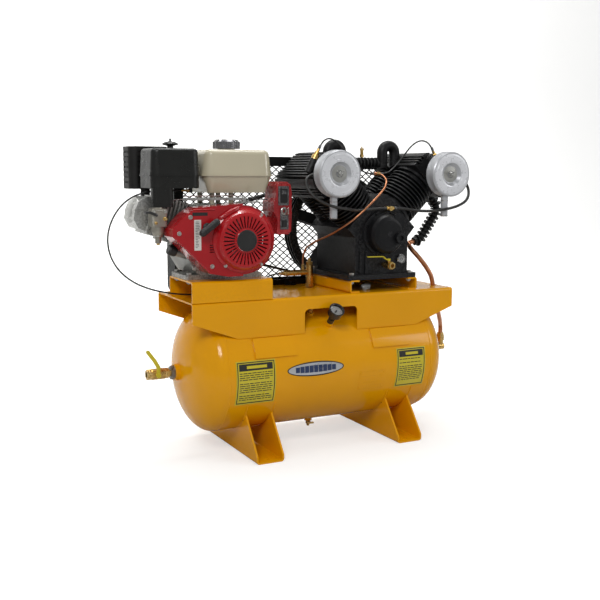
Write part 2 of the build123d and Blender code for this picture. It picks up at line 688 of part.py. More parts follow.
def engine_cylinder():
    """The finned cylinder and head, leaning up to the left."""
    low_y, high_y = CYLINDER_Y
    core = prism_y(engine_outline([(CYLINDER_FOOT, -58), (CYLINDER_FOOT, 58), (CYLINDER_TOP, 52),
                                   (CYLINDER_TOP, -52)]), low_y + 12, high_y - 10)
    fins = []
    for index in range(11):
        foot_at = CYLINDER_FOOT + 12 + index * 11.5
        half = 66 if index < 7 else 60
        corners = [(foot_at, -half), (foot_at, half), (foot_at + 4, half), (foot_at + 4, -half)]
        fins.append(prism_y(engine_outline(corners), low_y, high_y))
    flange = prism_y(engine_outline([(CYLINDER_FOOT, -70), (CYLINDER_FOOT, 70), (CYLINDER_FOOT + 9, 70),
                                     (CYLINDER_FOOT + 9, -70)]), low_y + 4, high_y - 4)
    top = prism_y(engine_outline([(CYLINDER_TOP - 8, -50), (CYLINDER_TOP - 8, 50), (CYLINDER_TOP, 50),
                                  (CYLINDER_TOP, -50)]), low_y + 8, high_y - 6)
    body = joined([core, flange, top, *fins])
    x, z = engine_point(CYLINDER_FOOT - 5, 0)
    aim = engine_point(CYLINDER_FOOT - 4, 0)
    return body - rod((x, -10, z), (aim[0] - x, 0, aim[1] - z), ENGINE_BORE, 105)


def rocker_cover():
    """A deep drawn cover on the end of the head."""
    corners = [(CYLINDER_TOP, -54), (CYLINDER_TOP, 54), (CYLINDER_TOP + 30, 50), (CYLINDER_TOP + 52, 26),
               (CYLINDER_TOP + 56, 0), (CYLINDER_TOP + 52, -30), (CYLINDER_TOP + 30, -52)]
    body = prism_y(engine_outline(corners), -62, 44)
    body = fillet(body.edges().filter_by(Axis.Y), 9)
    rim_corners = [(CYLINDER_TOP, -60), (CYLINDER_TOP, 60), (CYLINDER_TOP + 5, 60), (CYLINDER_TOP + 5, -60)]
    rim = prism_y(engine_outline(rim_corners), -68, 50)
    return joined([body, rim])


SHROUD_FRONT = -180.0
SHROUD_BACK = -100.0
SHROUD_RADIUS = 106.0
SHROUD_WALL = 2.5
RECOIL_FRONT = -206.0


def shroud_outline(grow):
    """The shroud's front outline, grown outwards by a distance: a circle with a wing to the left."""
    wing = [(-322, 811), (-470, 800), (-500, 784), (-549, 736), (-549, 714), (-432, 600), (-372, 588),
            (-322, 588)]
    shape = Pos(ENGINE_X, ENGINE_Z) * Circle(SHROUD_RADIUS) + make_face(Polyline(*wing, close=True))
    return offset(shape, amount=grow) if grow else shape


def shroud_prism(grow, low, high):
    """The outline is drawn in a flat plane and stood up facing the front."""
    upright = Plane(origin=(0, high, 0), x_dir=RIGHT, z_dir=FRONT)
    return extrude(upright * shroud_outline(grow), high - low)


def fan_shroud():
    shell = shroud_prism(0, SHROUD_FRONT, SHROUD_BACK)
    shell -= shroud_prism(-SHROUD_WALL, SHROUD_FRONT + SHROUD_WALL, SHROUD_BACK + 1)
    shell -= crank_rod(SHROUD_FRONT - 5, 89, 12)
    for index in range(4):
        z = 664 + index * 7
        shell -= block((-432, SHROUD_FRONT - 1, z), (-409, SHROUD_FRONT + 5, z + 3))
    return shell


SLOT_COUNT = 34


def recoil_cover():
    """A shallow pressed dome with radial slots round a plain centre disc."""
    depth = SHROUD_FRONT - RECOIL_FRONT
    outer = [(0, 0), (100, 0), (100, 3), (93, 8), (85, depth - 4), (79, depth - 1), (36, depth + 1),
             (34, depth + 4), (0, depth + 4)]
    inner = [(0, -1), (90, -1), (90, 6), (82, depth - 7), (77, depth - 4), (0, depth - 3)]
    place = (ENGINE_X, SHROUD_FRONT, ENGINE_Z)
    cover = turned(place, FRONT, outer) - turned(place, FRONT, inner)

    def slot(centre, turn):
        bar = Pos(56.5, 0, 0) * Box(35, 4.2, 22)
        plane = Plane(origin=(centre[0], RECOIL_FRONT, centre[1]), x_dir=RIGHT, z_dir=FRONT)
        return plane * Rot(0, 0, turn * 180 / pi) * bar

    for piece in ring_of(SLOT_COUNT, (ENGINE_X, ENGINE_Z), slot):
        cover -= piece
    return cover


GRIP_CENTRE = (-440.0, -203.0, 741.0)


def recoil_handle():
    """A T grip that lies across the shroud and pulls out on its cord."""
    grip = Plane(origin=GRIP_CENTRE, z_dir=(0.81, 0, 0.58)) * round_ended_bar(11, 76)
    stub = rod(GRIP_CENTRE, BACK, 7, SHROUD_FRONT - GRIP_CENTRE[1] - RUNNING_GAP)
    return joined([grip, stub])


FAN_RADIUS = 92.0


def flywheel_fan():
    """The flywheel with its ring of cooling blades and the starter cup on its front."""
    disc = crank_rod(-136, FAN_RADIUS - 6, 16)
    cup = crank_rod(-176, 34, 42)

    def blade(centre, turn):
        plane = Plane(origin=(centre[0], -148, centre[1]), x_dir=RIGHT, z_dir=FRONT)
        return plane * Rot(0, 0, turn * 180 / pi) * (Pos(64, 0, 0) * Box(44, 3.5, 30))

    blades = ring_of(18, (ENGINE_X, ENGINE_Z), blade)
    fan = joined([disc, cup, *blades])
    return fan - crank_rod(-180, SHAFT_RADIUS + FIT_GAP, 70)


def engine_crankshaft():
    front = crank_rod(-178, SHAFT_RADIUS, 60)
    journals = [crank_rod(-120, ENGINE_JOURNAL, 78), crank_rod(30, ENGINE_JOURNAL, 72)]
    webs = []
    for y in (-44.0, 12.0):
        web = crank_rod(y, 50, 20)
        webs.append(web)
    pin = rod((ENGINE_X + ENGINE_THROW, -26, ENGINE_Z), BACK, 15, 40)
    shaft_out = crank_rod(100, SHAFT_RADIUS, SHAFT_END - 100)
    return joined([front, *journals, *webs, pin, shaft_out])


def engine_piston():
    """The piston at the top of its stroke; its rod is cut short of the crankpin's circle."""
    x, z = engine_point(180, 0)
    aim = engine_point(181, 0)
    way = (aim[0] - x, 0, aim[1] - z)
    crown = rod((x, -10, z), way, ENGINE_BORE - RUNNING_GAP, 34)
    low = engine_point(68, 0)
    shank = rod((low[0], -10, low[1]), way, 10, 116)
    return joined([crown, shank])


TANK_SPAN_X = (-418.0, -184.0)
TANK_SPAN_Y = (-116.0, 98.0)
SEAM_Z = 896.0
FUEL_TOP = 976.0
FUEL_LOW = 842.0
ENGINE_TOP = 806.0
CAP_XY = (-303.5, -4.0)


def tank_half(inset, height, taper, way):
    width = TANK_SPAN_X[1] - TANK_SPAN_X[0] - 2 * inset
    depth = TANK_SPAN_Y[1] - TANK_SPAN_Y[0] - 2 * inset
    centre = Pos(sum(TANK_SPAN_X) / 2, sum(TANK_SPAN_Y) / 2, SEAM_Z)
    return centre * extrude(RectangleRounded(width, depth, 34 - inset), amount=height, taper=taper, dir=way)


def fuel_tank_shape(inset):
    top = tank_half(inset, FUEL_TOP - SEAM_Z - inset, 7, UP)
    top = fillet(top.faces().sort_by(Axis.Z)[-1].edges(), 18 - inset)
    base = tank_half(inset, SEAM_Z - FUEL_LOW - inset, 20, (0, 0, -1))
    return joined([top, base])


def fuel_tank():
    """Two pressed halves with a seam flange, hollow, with a filler neck on top."""
    outer = fuel_tank_shape(0)
    seam = Pos(sum(TANK_SPAN_X) / 2, sum(TANK_SPAN_Y) / 2, SEAM_Z - 2) * extrude(
        RectangleRounded(TANK_SPAN_X[1] - TANK_SPAN_X[0] + 8, TANK_SPAN_Y[1] - TANK_SPAN_Y[0] + 8, 37), 4)
    neck = rod((*CAP_XY, FUEL_TOP - 6), UP, 27, 14)
    leg_height = FUEL_LOW - ENGINE_TOP + 1
    legs = [rod((x, y, ENGINE_TOP), UP, 8, leg_height) for x in (-372, -308) for y in (-50, 60)]
    body = joined([outer, seam, neck, *legs]) - fuel_tank_shape(2.5)
    return body - rod((*CAP_XY, FUEL_TOP - 20), UP, 23, 40)


CAP_RADIUS = 44.0
CAP_LOW = 980.0
CAP_TOP = 1010.0


def fuel_cap():
    """A ribbed cap over the filler neck."""
    skirt = [(29, 0), (CAP_RADIUS - 2, 0), (CAP_RADIUS - 2, 22), (CAP_RADIUS - 8, 29), (0, CAP_TOP - CAP_LOW),
             (0, 10), (29, 10)]
    cap = turned((*CAP_XY, CAP_LOW), UP, skirt)
    ribs = []
    for index in range(20):
        turn = 2 * pi * index / 20
        x = CAP_XY[0] + (CAP_RADIUS - 3) * cos(turn)
        y = CAP_XY[1] + (CAP_RADIUS - 3) * sin(turn)
        ribs.append(rod((x, y, CAP_LOW), UP, 3.2, 22))
    return joined([cap, *ribs])


CLEANER_X = (-590.0, -430.0)
CLEANER_Y = (-120.0, 30.0)
CLEANER_Z = (857.0, 977.0)
CLEANER_NUT_XY = (-501.0, -30.0)


def air_cleaner():
    """The square filter housing with its rolled joint and the elbow down to the carburettor."""
    centre_x = sum(CLEANER_X) / 2
    centre_y = sum(CLEANER_Y) / 2
    width = CLEANER_X[1] - CLEANER_X[0]
    depth = CLEANER_Y[1] - CLEANER_Y[0]
    joint_z = 897.0
    hood = Pos(centre_x, centre_y, joint_z) * extrude(RectangleRounded(width - 4, depth - 4, 26),
                                                     CLEANER_Z[1] - joint_z, taper=3)
    hood = fillet(hood.faces().sort_by(Axis.Z)[-1].edges(), 12)
    seam = Pos(centre_x, centre_y, joint_z - 4) * extrude(RectangleRounded(width, depth, 28), 4)
    pan = Pos(centre_x, centre_y, CLEANER_Z[0]) * extrude(RectangleRounded(width - 6, depth - 6, 26),
                                                         joint_z - CLEANER_Z[0] - 4)
    elbow = soft_block((-585, -117, 800), (-520, CYLINDER_Y[0] - FIT_GAP, CLEANER_Z[0]), 14)
    cable_stop = block((-448, -58, 842), (-440, -42, CLEANER_Z[0] + 1))
    return joined([hood, seam, pan, elbow, cable_stop])


def air_cleaner_nut():
    """A wide thumb nut on the housing's stud."""
    x, y = CLEANER_NUT_XY
    profile = [(0, 0), (11, 0), (9, 8), (24, 12), (25, 15), (17, 20), (7, 22), (3, 24), (3, 31), (0, 31)]
    return turned((x, y, CLEANER_Z[1] + RUNNING_GAP), UP, profile)


MUFFLER_X = (-594.0, -478.0)
MUFFLER_Y = (74.0, 162.0)
MUFFLER_Z = (862.0, 980.0)
GUARD_SPACE = 6.0


def muffler():
    """A pressed steel box with a pipe down to the head's back port."""
    low, high = zip(MUFFLER_X, MUFFLER_Y, MUFFLER_Z)
    box = soft_block(low, high, 22)
    port_x, port_z = engine_point(228, 0)
    route = [(port_x, CYLINDER_Y[1], port_z), (port_x, 108, port_z), (port_x, 108, MUFFLER_Z[0] + 6)]
    return joined([box, tube_along(route, 15, 26)])


def muffler_guard():
    """A thin cage round the muffler with rows of slots on its left and front."""
    low = [MUFFLER_X[0] - GUARD_SPACE, MUFFLER_Y[0] - GUARD_SPACE, MUFFLER_Z[0] - GUARD_SPACE - 4]
    high = [MUFFLER_X[1] + GUARD_SPACE, MUFFLER_Y[1] + GUARD_SPACE, MUFFLER_Z[1] + GUARD_SPACE]
    wall = 1.5
    cage = soft_block(low, high, 26)
    cage -= soft_block([low[0] + wall, low[1] + wall, low[2] - 1],
                       [high[0] - wall, high[1] - wall, high[2] - wall], 24.5)
    cuts = []
    for row in range(7):
        z = MUFFLER_Z[0] + 8 + row * 16
        for column in range(4):
            y = MUFFLER_Y[0] + 16 + column * 18
            cuts.append(block((low[0] - 1, y, z), (low[0] + 6, y + 11, z + 6)))
        for column in range(4):
            x = MUFFLER_X[0] + 18 + column * 24
            cuts.append(block((x, low[1] - 1, z), (x + 14, high[1] + 1, z + 6)))
    for cut in cuts:
        cage -= cut
    spacers = [rod((low[0] + wall / 2, y, 958), RIGHT, 5, GUARD_SPACE - wall / 2) for y in (100, 136)]
    spacers += [rod((x, 118, MUFFLER_Z[1]), UP, 5, GUARD_SPACE - wall / 2) for x in (-566, -510)]
    return joined([cage, *spacers])


CARB_X = (-592.0, -546.0)
CARB_Z = (742.0, 796.0)
CARB_CENTRE_X = -569.0
CHOKE_PIVOT = (-582.0, -128.0, 778.0)


def carburettor():
    """The carburettor with its float bowl and the fuel cut-off solenoid below."""
    body = soft_block((CARB_X[0], -126, CARB_Z[0]), (CARB_X[1], -84, CARB_Z[1]), 6)
    bowl_outline = [(0, 0), (20, 0), (20, 16), (14, 26), (0, 26)]
    bowl = turned((CARB_CENTRE_X, -105, CARB_Z[0]), (0, 0, -1), bowl_outline)
    solenoid = rod((CARB_CENTRE_X, -105, CARB_Z[0] - 26), (0, 0, -1), 9.5, 24)
    flange = block((CARB_X[0] + 2, -84, 748), (CARB_X[1] - 2, CYLINDER_Y[0], 790))
    horn = rod((CARB_CENTRE_X, -105, CARB_Z[1]), UP, 16, 4 - FIT_GAP)
    return joined([body, bowl, solenoid, flange, horn])


def choke_lever():
    x, y, z = CHOKE_PIVOT
    front = y - RUNNING_GAP
    hub = rod((x, -126 - RUNNING_GAP, z), FRONT, 5, 7)
    bends = [(x, front - 3, z), (x - 20, front - 3, z + 8), (x - 34, front - 3, z + 8)]
    arm = swept_lever(bends, 8, FRONT, 2)
    return joined([hub, arm])


THROTTLE_PIVOT = (-262.0, -96.0, 822.0)


def throttle_lever():
    """The speed lever lies flat on the engine's top and swings from slow to fast."""
    x, y, z = THROTTLE_PIVOT
    hub = rod((x, y, z - 6), UP, 7, 12)
    arm = swept_lever([(x, y, z), (x + 6, y - 34, z), (x + 26, y - 62, z)], 11, UP, 2.5)
    return joined([hub, arm])


def control_plate():
    """The governor plate between the crankcase and the speed lever, with its long slotted arm."""
    plate = block((-300, -125, 811), (-232, -72, 814))
    foot_block = block((-300, -98, ENGINE_TOP), (-288, -72, 812))
    post = rod((THROTTLE_PIVOT[0], THROTTLE_PIVOT[1], 813), UP, 5, 3 - RUNNING_GAP)
    arm = block((-496, -125, 820), (-288, -121, 828))
    leg = block((-298, -125, 813), (-288, -121, 828))
    return joined([plate, foot_block, post, arm, leg])


BOX_X = (-172.0, -108.0)
BOX_Y = (-84.0, 4.0)
BOX_Z = (706.0, 876.0)
KEY_AT = (-138.0, -90.0, 782.0)


def control_box():
    """The start box: a deep faceted housing with a long bezel on its front."""
    low_x, high_x = BOX_X
    middle = (low_x + high_x) / 2
    low_z, high_z = BOX_Z
    outline = [(middle - 18, low_z), (middle + 20, low_z), (high_x - 2, low_z + 10), (high_x, low_z + 60),
               (high_x, high_z - 34), (high_x - 4, high_z - 10), (middle + 14, high_z), (middle - 16, high_z),
               (low_x + 10, high_z - 14), (low_x + 8, high_z - 52), (low_x, high_z - 66), (low_x, low_z + 74),
               (low_x + 12, low_z + 52), (low_x + 14, low_z + 8)]
    body = prism_y(outline, BOX_Y[0], BOX_Y[1])
    bracket = block((-222, -30, 700), (-160, 0, 760))
    lock = rod((KEY_AT[0], BOX_Y[0], KEY_AT[2]), FRONT, 11, 6)
    return joined([body, bracket, lock])


def ignition_key():
    """The key in its lock; the bow stands across the lock when the engine is off."""
    x, y, z = KEY_AT
    face = y - RUNNING_GAP
    blade = block((x - 1.5, face - 9, z - 4), (x + 1.5, face, z + 4))
    bow = soft_block((x - 1.5, face - 30, z - 11), (x + 1.5, face - 8, z + 11), 6, Axis.X)
    return joined([blade, bow])


def oil_cap():
    """The screwed plug on the engine's oil neck."""
    start = (-462 + OIL_NECK * OIL_CAP_WAY[0], -72, 648 + OIL_NECK * OIL_CAP_WAY[2])
    grip = [(0, 0), (15, 0), (17, 4), (17, 22), (14, 27), (0, 27)]
    return turned([p + RUNNING_GAP * q for p, q in zip(start, OIL_CAP_WAY)], OIL_CAP_WAY, grip)


# Belt drive

def grooved_wheel(centre, radius, low_y, high_y):
    """A wheel rim with a groove for each belt, solid inside."""
    wheel = rod((centre[0], low_y, centre[1]), BACK, radius, high_y - low_y)
    for y in BELT_Y:
        groove_y = y - BELT_WIDTH / 2 - 0.5
        cut = rod((centre[0], groove_y, centre[1]), BACK, radius + 5, BELT_WIDTH + 1)
        cut -= rod((centre[0], groove_y, centre[1]), BACK, radius - BELT_DEPTH - 1, BELT_WIDTH + 1)
        wheel -= cut
    return wheel


def drive_pulley():
    centre = (ENGINE_X, ENGINE_Z)
    wheel = grooved_wheel(centre, DRIVE_RADIUS, *WHEEL_Y)
    hub = crank_rod(140, 24, 30)
    return joined([wheel, hub]) - crank_rod(100, SHAFT_RADIUS + FIT_GAP, 120)


def pump_rod(y, radius, length):
    return rod((PUMP_X, y, PUMP_Z), BACK, radius, length)


SPOKES = 5
RIM_DEPTH = 30.0
PUMP_JOURNAL = 20.0
PUMP_SHAFT = 16.0


def pump_flywheel():
    """The grooved flywheel: a rim, a hub and curved fan spokes."""
    wheel = grooved_wheel((PUMP_X, PUMP_Z), FLYWHEEL_RADIUS, *WHEEL_Y)
    inner = FLYWHEEL_RADIUS - RIM_DEPTH
    wheel -= pump_rod(150, inner, 70)

    def spoke(centre, turn):
        plane = Plane(origin=(centre[0], sum(WHEEL_Y) / 2, centre[1]), x_dir=RIGHT, z_dir=FRONT)
        bar = Pos(inner / 2 + 10, 0, 0) * Rot(25, 0, 0) * Box(inner, 44, 14)
        return plane * Rot(0, 0, turn * 180 / pi) * bar

    spokes = ring_of(SPOKES, (PUMP_X, PUMP_Z), spoke, offset=pi / 2)
    hub = pump_rod(148, 38, 62)
    return joined([wheel, hub, *spokes]) - pump_rod(100, PUMP_SHAFT + FIT_GAP, 120)


def belt_loop(y):
    """A belt round both wheels: the outline's hull, less the hull one belt depth further in."""
    def loop(grow, length):
        small = Pos(ENGINE_X, ENGINE_Z) * Circle(DRIVE_RADIUS - BELT_DEPTH + grow)
        large = Pos(PUMP_X, PUMP_Z) * Circle(FLYWHEEL_RADIUS - BELT_DEPTH + grow)
        outline = make_hull([*small.edges(), *large.edges()])
        upright = Plane(origin=(0, y + BELT_WIDTH / 2, 0), x_dir=RIGHT, z_dir=FRONT)
        return extrude(upright * outline, length)

    return loop(BELT_DEPTH, BELT_WIDTH) - loop(0, BELT_WIDTH)


def drive_belts():
    return group([belt_loop(y) for y in BELT_Y])


LIP = 32.0


def belt_guard():
    """The guard: a sheet band round the drive with turned-in lips, and a closed back panel."""
    low_x, high_x = GUARD_X
    low_y, high_y = GUARD_Y
    low_z, high_z = GUARD_Z
    back = high_y - 2 * GUARD_SHEET
    frame = soft_block((low_x, low_y, low_z), (high_x, high_y, high_z), 24, Axis.Y)
    frame -= soft_block((low_x + GUARD_SHEET, low_y + GUARD_SHEET, low_z + GUARD_SHEET),
                        (high_x - GUARD_SHEET, back, high_z - GUARD_SHEET), 21.5, Axis.Y)
    frame -= soft_block((low_x + LIP, low_y - 1, low_z + LIP),
                        (high_x - LIP, high_y + 1, high_z - LIP), 12, Axis.Y)
    frame -= block((low_x - 1, low_y - 1, low_z - 1), (high_x + 1, PLATFORM_DEPTH + 2, PLATFORM_TOP + 4))
    mesh = block((low_x + 10, back - 1.5, low_z + 10), (high_x - 10, back + 0.5, high_z - 10))
    tabs = [block((x - 20, low_y, PLATFORM_TOP), (x + 20, low_y + GUARD_SHEET, PLATFORM_TOP + 6))
            for x in (-330, 0, 400)]
    return joined([frame, mesh, *tabs])


# Pump

COVER_RADIUS = 76.0
COVER_SPIGOT = 60.0
PUMP_CAVITY = 84.0
LOW_BORE = 50.0
HIGH_BORE = 28.0
BANKS = (-1, 1)


def bank_plane(side, y):
    return Plane(origin=(PUMP_X, y, PUMP_Z), z_dir=(side * ROOT_HALF, 0, ROOT_HALF))


def pump_crankcase():
    wall_left, wall_right = 104.0, 311.0
    right_deck = bank_outline(1, [(DECK, 80), (DECK, -80)])
    left_deck = bank_outline(-1, [(DECK, -80), (DECK, 80)])
    outline = [(wall_left, PUMP_SEAT + 4), (wall_right, PUMP_SEAT + 4), (wall_right, 690),
               *right_deck, *left_deck, (wall_left, 690)]
    body = prism_y(outline, PUMP_FRONT, PUMP_BACK)
    base = soft_block((72, -150, PUMP_SEAT), (343, 150, PUMP_SEAT + PUMP_FLANGE), 12)
    bosses = [rod((x, y, PUMP_SEAT), UP, 15, PUMP_FLANGE) for x, y in PUMP_BOLTS]
    rings = [pump_rod(PUMP_BACK - 1, 58, 11)]
    ribs = [block((x - 4, PUMP_FRONT - 4, 570), (x + 4, PUMP_FRONT + 2, 645)) for x in (124, 146)]
    case = joined([body, base, *bosses, *rings, *ribs])
    case -= pump_rod(PUMP_FRONT + 10, PUMP_CAVITY, PUMP_BACK - PUMP_FRONT - 20)
    case -= block((118, PUMP_FRONT + 10, PUMP_SEAT + 20), (298, PUMP_BACK - 10, 690))
    case -= pump_rod(PUMP_FRONT - 5, COVER_SPIGOT, 30)
    case -= pump_rod(PUMP_BACK - 15, PUMP_JOURNAL + RUNNING_GAP, 40)
    for side in BANKS:
        for y, bore in ((LOW_STAGE_Y, LOW_BORE), (HIGH_STAGE_Y, HIGH_BORE)):
            case -= bank_plane(side, y) * Pos(0, 0, DECK - 20) * Cylinder(bore + 1, 60)
    for x, y in PUMP_BOLTS:
        case -= rod((x, y, PUMP_SEAT - 5), UP, BOLT_HOLE_RADIUS, 40)
    return case


BOSS_X = 244.0
BOSS_Z = 690.0


def pump_front_cover():
    """The front bearing cover: a domed plate with a rib, a filler boss and a bearing bore behind."""
    face = PUMP_FRONT
    dome = [(0, 0), (COVER_RADIUS, 0), (COVER_RADIUS, 10), (68, 12), (65, 38), (58, 48), (44, 53), (0, 54)]
    cover = turned((PUMP_X, face, PUMP_Z), FRONT, dome)
    spigot = pump_rod(face, COVER_SPIGOT - FIT_GAP, 10)
    rib = soft_block((226, face - 50, 690), (262, face - 8, 770), 8, Axis.Y)
    boss = rod((BOSS_X, face - 8, BOSS_Z), FRONT, 19, 58)
    body = joined([cover, spigot, rib, boss])
    body -= rod((BOSS_X, face - 60, BOSS_Z), FRONT, 9, 20)
    return body - pump_rod(face - 20, PUMP_JOURNAL + RUNNING_GAP, 40)


def pump_crankshaft():
    """Two throws on opposite sides: the front one works the low stage, the back one the high stage."""
    front = pump_rod(-152, PUMP_JOURNAL, 42)
    middle = pump_rod(-14, PUMP_JOURNAL, 32)
    back = pump_rod(120, PUMP_JOURNAL, 28)
    nose = pump_rod(146, PUMP_SHAFT, 62)
    webs = [pump_rod(y, 62, 18) for y in (-112, -26, 18, 104)]
    low_pin = rod((PUMP_X, -98, PUMP_Z - PUMP_THROW), BACK, 18, 76)
    high_pin = rod((PUMP_X, 32, PUMP_Z + PUMP_THROW), BACK, 18, 76)
    return joined([front, middle, back, nose, *webs, low_pin, high_pin])


def finned_barrel(bore, barrel, fin):
    """A cylinder barrel with even fins between a foot flange and a top flange."""
    count = 8
    pitch = 13.0
    flange = min(fin, 74.0)
    outline = [(bore, DECK), (flange, DECK), (flange, DECK + 9), (barrel, DECK + 9)]
    for index in range(count):
        foot_at = DECK + 20 + index * pitch
        outline += [(barrel, foot_at), (fin, foot_at), (fin, foot_at + 4), (barrel, foot_at + 4)]
    outline += [(barrel, BARREL_TOP - 9), (flange, BARREL_TOP - 9), (flange, BARREL_TOP), (bore, BARREL_TOP)]
    face = make_face(Polyline(*[(radius, 0, height) for radius, height in outline], close=True))
    return revolve(face, Axis.Z)


LOW_BARREL = (LOW_BORE, 60.0, 79.0)
HIGH_BARREL = (HIGH_BORE, 40.0, 61.0)


def pump_cylinders():
    barrels = []
    for side in BANKS:
        barrels.append(bank_plane(side, LOW_STAGE_Y) * finned_barrel(*LOW_BARREL))
        barrels.append(bank_plane(side, HIGH_STAGE_Y) * finned_barrel(*HIGH_BARREL))
    return group(barrels)


HEAD_HALF = 78.0
FIN_SLOT = 7.0
FIN_PITCH = 12.0
FIN_DEPTH = 22.0
INTAKE_RADIUS = 20.0


def pump_head(side):
    """One head over both barrels of a bank, with fins that run along it."""
    corners = [(BARREL_TOP, -HEAD_HALF), (BARREL_TOP, HEAD_HALF),
               (HEAD_TOP, HEAD_HALF), (HEAD_TOP, -HEAD_HALF)]
    head = prism_y(bank_outline(side, corners), HEAD_Y[0], HEAD_Y[1])
    top_edges = [edge for edge in head.edges().filter_by(Axis.Y)
                 if abs(side * (edge.center().X - PUMP_X) * ROOT_HALF
                        + (edge.center().Z - PUMP_Z) * ROOT_HALF - HEAD_TOP) < 1]
    head = fillet(top_edges, 34)
    slots = []
    for index in range(11):
        lateral = (index - 5) * FIN_PITCH
        drop = FIN_DEPTH + max(0.0, abs(lateral) - 44) * 0.7
        slots.append([(HEAD_TOP - drop, lateral - FIN_SLOT / 2), (HEAD_TOP - drop, lateral + FIN_SLOT / 2),
                      (HEAD_TOP + 5, lateral + FIN_SLOT / 2), (HEAD_TOP + 5, lateral - FIN_SLOT / 2)])
    for index in range(3):
        radial = BARREL_TOP + 12 + index * FIN_PITCH
        for hand in (-1, 1):
            outer, inner = hand * (HEAD_HALF + 5), hand * (HEAD_HALF - 13)
            slots.append([(radial, inner), (radial + FIN_SLOT, inner),
                          (radial + FIN_SLOT, outer), (radial, outer)])
    for slot in slots:
        head -= prism_y(bank_outline(side, slot), HEAD_Y[0] - 1, HEAD_Y[1] + 1)
    x, y, z = UNLOADER_FOOT
    way_x, way_y, way_z = UNLOADER_WAY
    if side < 0:
        x = 2 * PUMP_X - x
        way_x = -way_x
    inside = (x - 34 * way_x, y, z - 34 * way_z)
    boss = rod(inside, (way_x, way_y, way_z), 13, 34 + UNLOADER_BOSS)
    pad_x, pad_z = bank_point(side, 268, -60)
    way = (-side * ROOT_HALF, 0, ROOT_HALF)
    inner_pad = rod((pad_x, INTERCOOLER_Y, pad_z), way, 30, 18)
    outer_x, outer_z = bank_point(side, 285, 60)
    outer_pad = rod((outer_x, 0, outer_z), (side * ROOT_HALF, 0, -ROOT_HALF), 26, 18)
    pads = [inner_pad, outer_pad] if side > 0 else [inner_pad]
    neck = rod((PUMP_X + side * FILTER_REACH, HEAD_Y[0] + 20, FILTER_Z), FRONT, 27, 24)
    return joined([head, boss, neck, *pads])


def pump_heads():
    return group([pump_head(side) for side in BANKS])


def pump_fittings():
    """Small fittings: an unloader on each head, the relief valve and the breather tee."""
    pieces = [relief_valve(), breather_tee()]
    for side in BANKS:
        x, y, z = UNLOADER_FOOT
        way = (side * UNLOADER_WAY[0], 0, UNLOADER_WAY[2])
        x = x if side > 0 else 2 * PUMP_X - x
        start = (x + UNLOADER_BOSS * way[0], y, z + UNLOADER_BOSS * way[2])
        profile = [(0, 0), (12, 0), (12, 14), (8, 16), (8, 26), (5, 28),
                   (5, UNLOADER_LENGTH), (0, UNLOADER_LENGTH)]
        pieces.append(turned(start, way, profile))
    return group(pieces)


def pump_pistons():
    """Pistons at the top of their stroke; each rod is cut short of its crankpin's circle."""
    on_base = (Align.CENTER, Align.CENTER, Align.MIN)
    pieces = []
    for side in BANKS:
        for y, bore in ((LOW_STAGE_Y, LOW_BORE), (HIGH_STAGE_Y, HIGH_BORE)):
            crown = Pos(0, 0, 188) * Cylinder(bore - RUNNING_GAP, 50, align=on_base)
            shank = Pos(0, 0, 72) * Cylinder(9, 120, align=on_base)
            pieces.append(bank_plane(side, y) * joined([crown, shank]))
    return group(pieces)


FILTER_RADIUS = 75.0


TUBE_DROP = 760.0


def air_filter(side):
    """A round canister on its neck, with a dished middle, a hose tail and a short intake tube."""
    x = PUMP_X + side * FILTER_REACH
    depth = FILTER_Y[1] - FILTER_Y[0]
    dish = [(0, 0), (FILTER_RADIUS - 1, 0), (FILTER_RADIUS, 2), (FILTER_RADIUS, depth - 4),
            (FILTER_RADIUS - 4, depth), (38, depth), (30, depth - 9), (10, depth - 11), (8, depth - 6),
            (0, depth - 6)]
    can = turned((x, FILTER_Y[1], FILTER_Z), FRONT, dish)
    neck_top = HEAD_Y[0] - 4
    neck = rod((x, neck_top, FILTER_Z), FRONT, INTAKE_RADIUS, neck_top - FILTER_Y[1])
    barb = rod((x, -167, FILTER_Z), RIGHT if side > 0 else LEFT, 6, NECK_BARB)
    rim_z = FILTER_Z - FILTER_RADIUS + 6
    tube = rod((x - 13, -207, TUBE_DROP), UP, 12, rim_z - TUBE_DROP)
    tube -= rod((x - 13, -207, TUBE_DROP - 1), UP, 10.5, rim_z - TUBE_DROP - 12)
    return joined([can, neck, barb, tube])


def air_filters():
    return group([air_filter(side) for side in BANKS])


BEND_X = 108.5
BEND_Z = 975.0
BEND_RADIUS = 25.0
LEG_RADIUS = 18.5
COOLER_TUBE = 12.0
COOLER_FIN = 21.0


def intercooler():
    """The finned tube between the banks with a cast return bend at each end."""
    left = PUMP_X - BEND_X + BEND_RADIUS
    right = PUMP_X + BEND_X - BEND_RADIUS
    pieces = [rod((left, INTERCOOLER_Y, INTERCOOLER_Z), RIGHT, COOLER_TUBE, right - left)]
    pitch = 14.0
    count = int((right - left - 2 * LEG_RADIUS) / pitch)
    first = (left + right) / 2 - pitch * (count - 1) / 2
    pieces += [rod((first + index * pitch - 2, INTERCOOLER_Y, INTERCOOLER_Z), RIGHT, COOLER_FIN, 4)
               for index in range(count)]
    for side in BANKS:
        centre_x = PUMP_X + side * BEND_X
        inner_x = centre_x - side * BEND_RADIUS
        outer_x = centre_x + side * BEND_RADIUS
        crown_z = BEND_Z + BEND_RADIUS
        route = [(inner_x, INTERCOOLER_Y, INTERCOOLER_Z - 14), (inner_x, INTERCOOLER_Y, crown_z),
                 (outer_x, INTERCOOLER_Y, crown_z), (outer_x, INTERCOOLER_Y, INTERCOOLER_Z - 40)]
        bend = tube_along(route, LEG_RADIUS, BEND_RADIUS - 0.5)
        pad_face = bank_outline(side, [(150, -78 - FIT_GAP), (420, -78 - FIT_GAP), (420, 200), (150, 200)])
        pieces.append(bend - prism_y(pad_face, -60, 60))
    return joined(pieces)


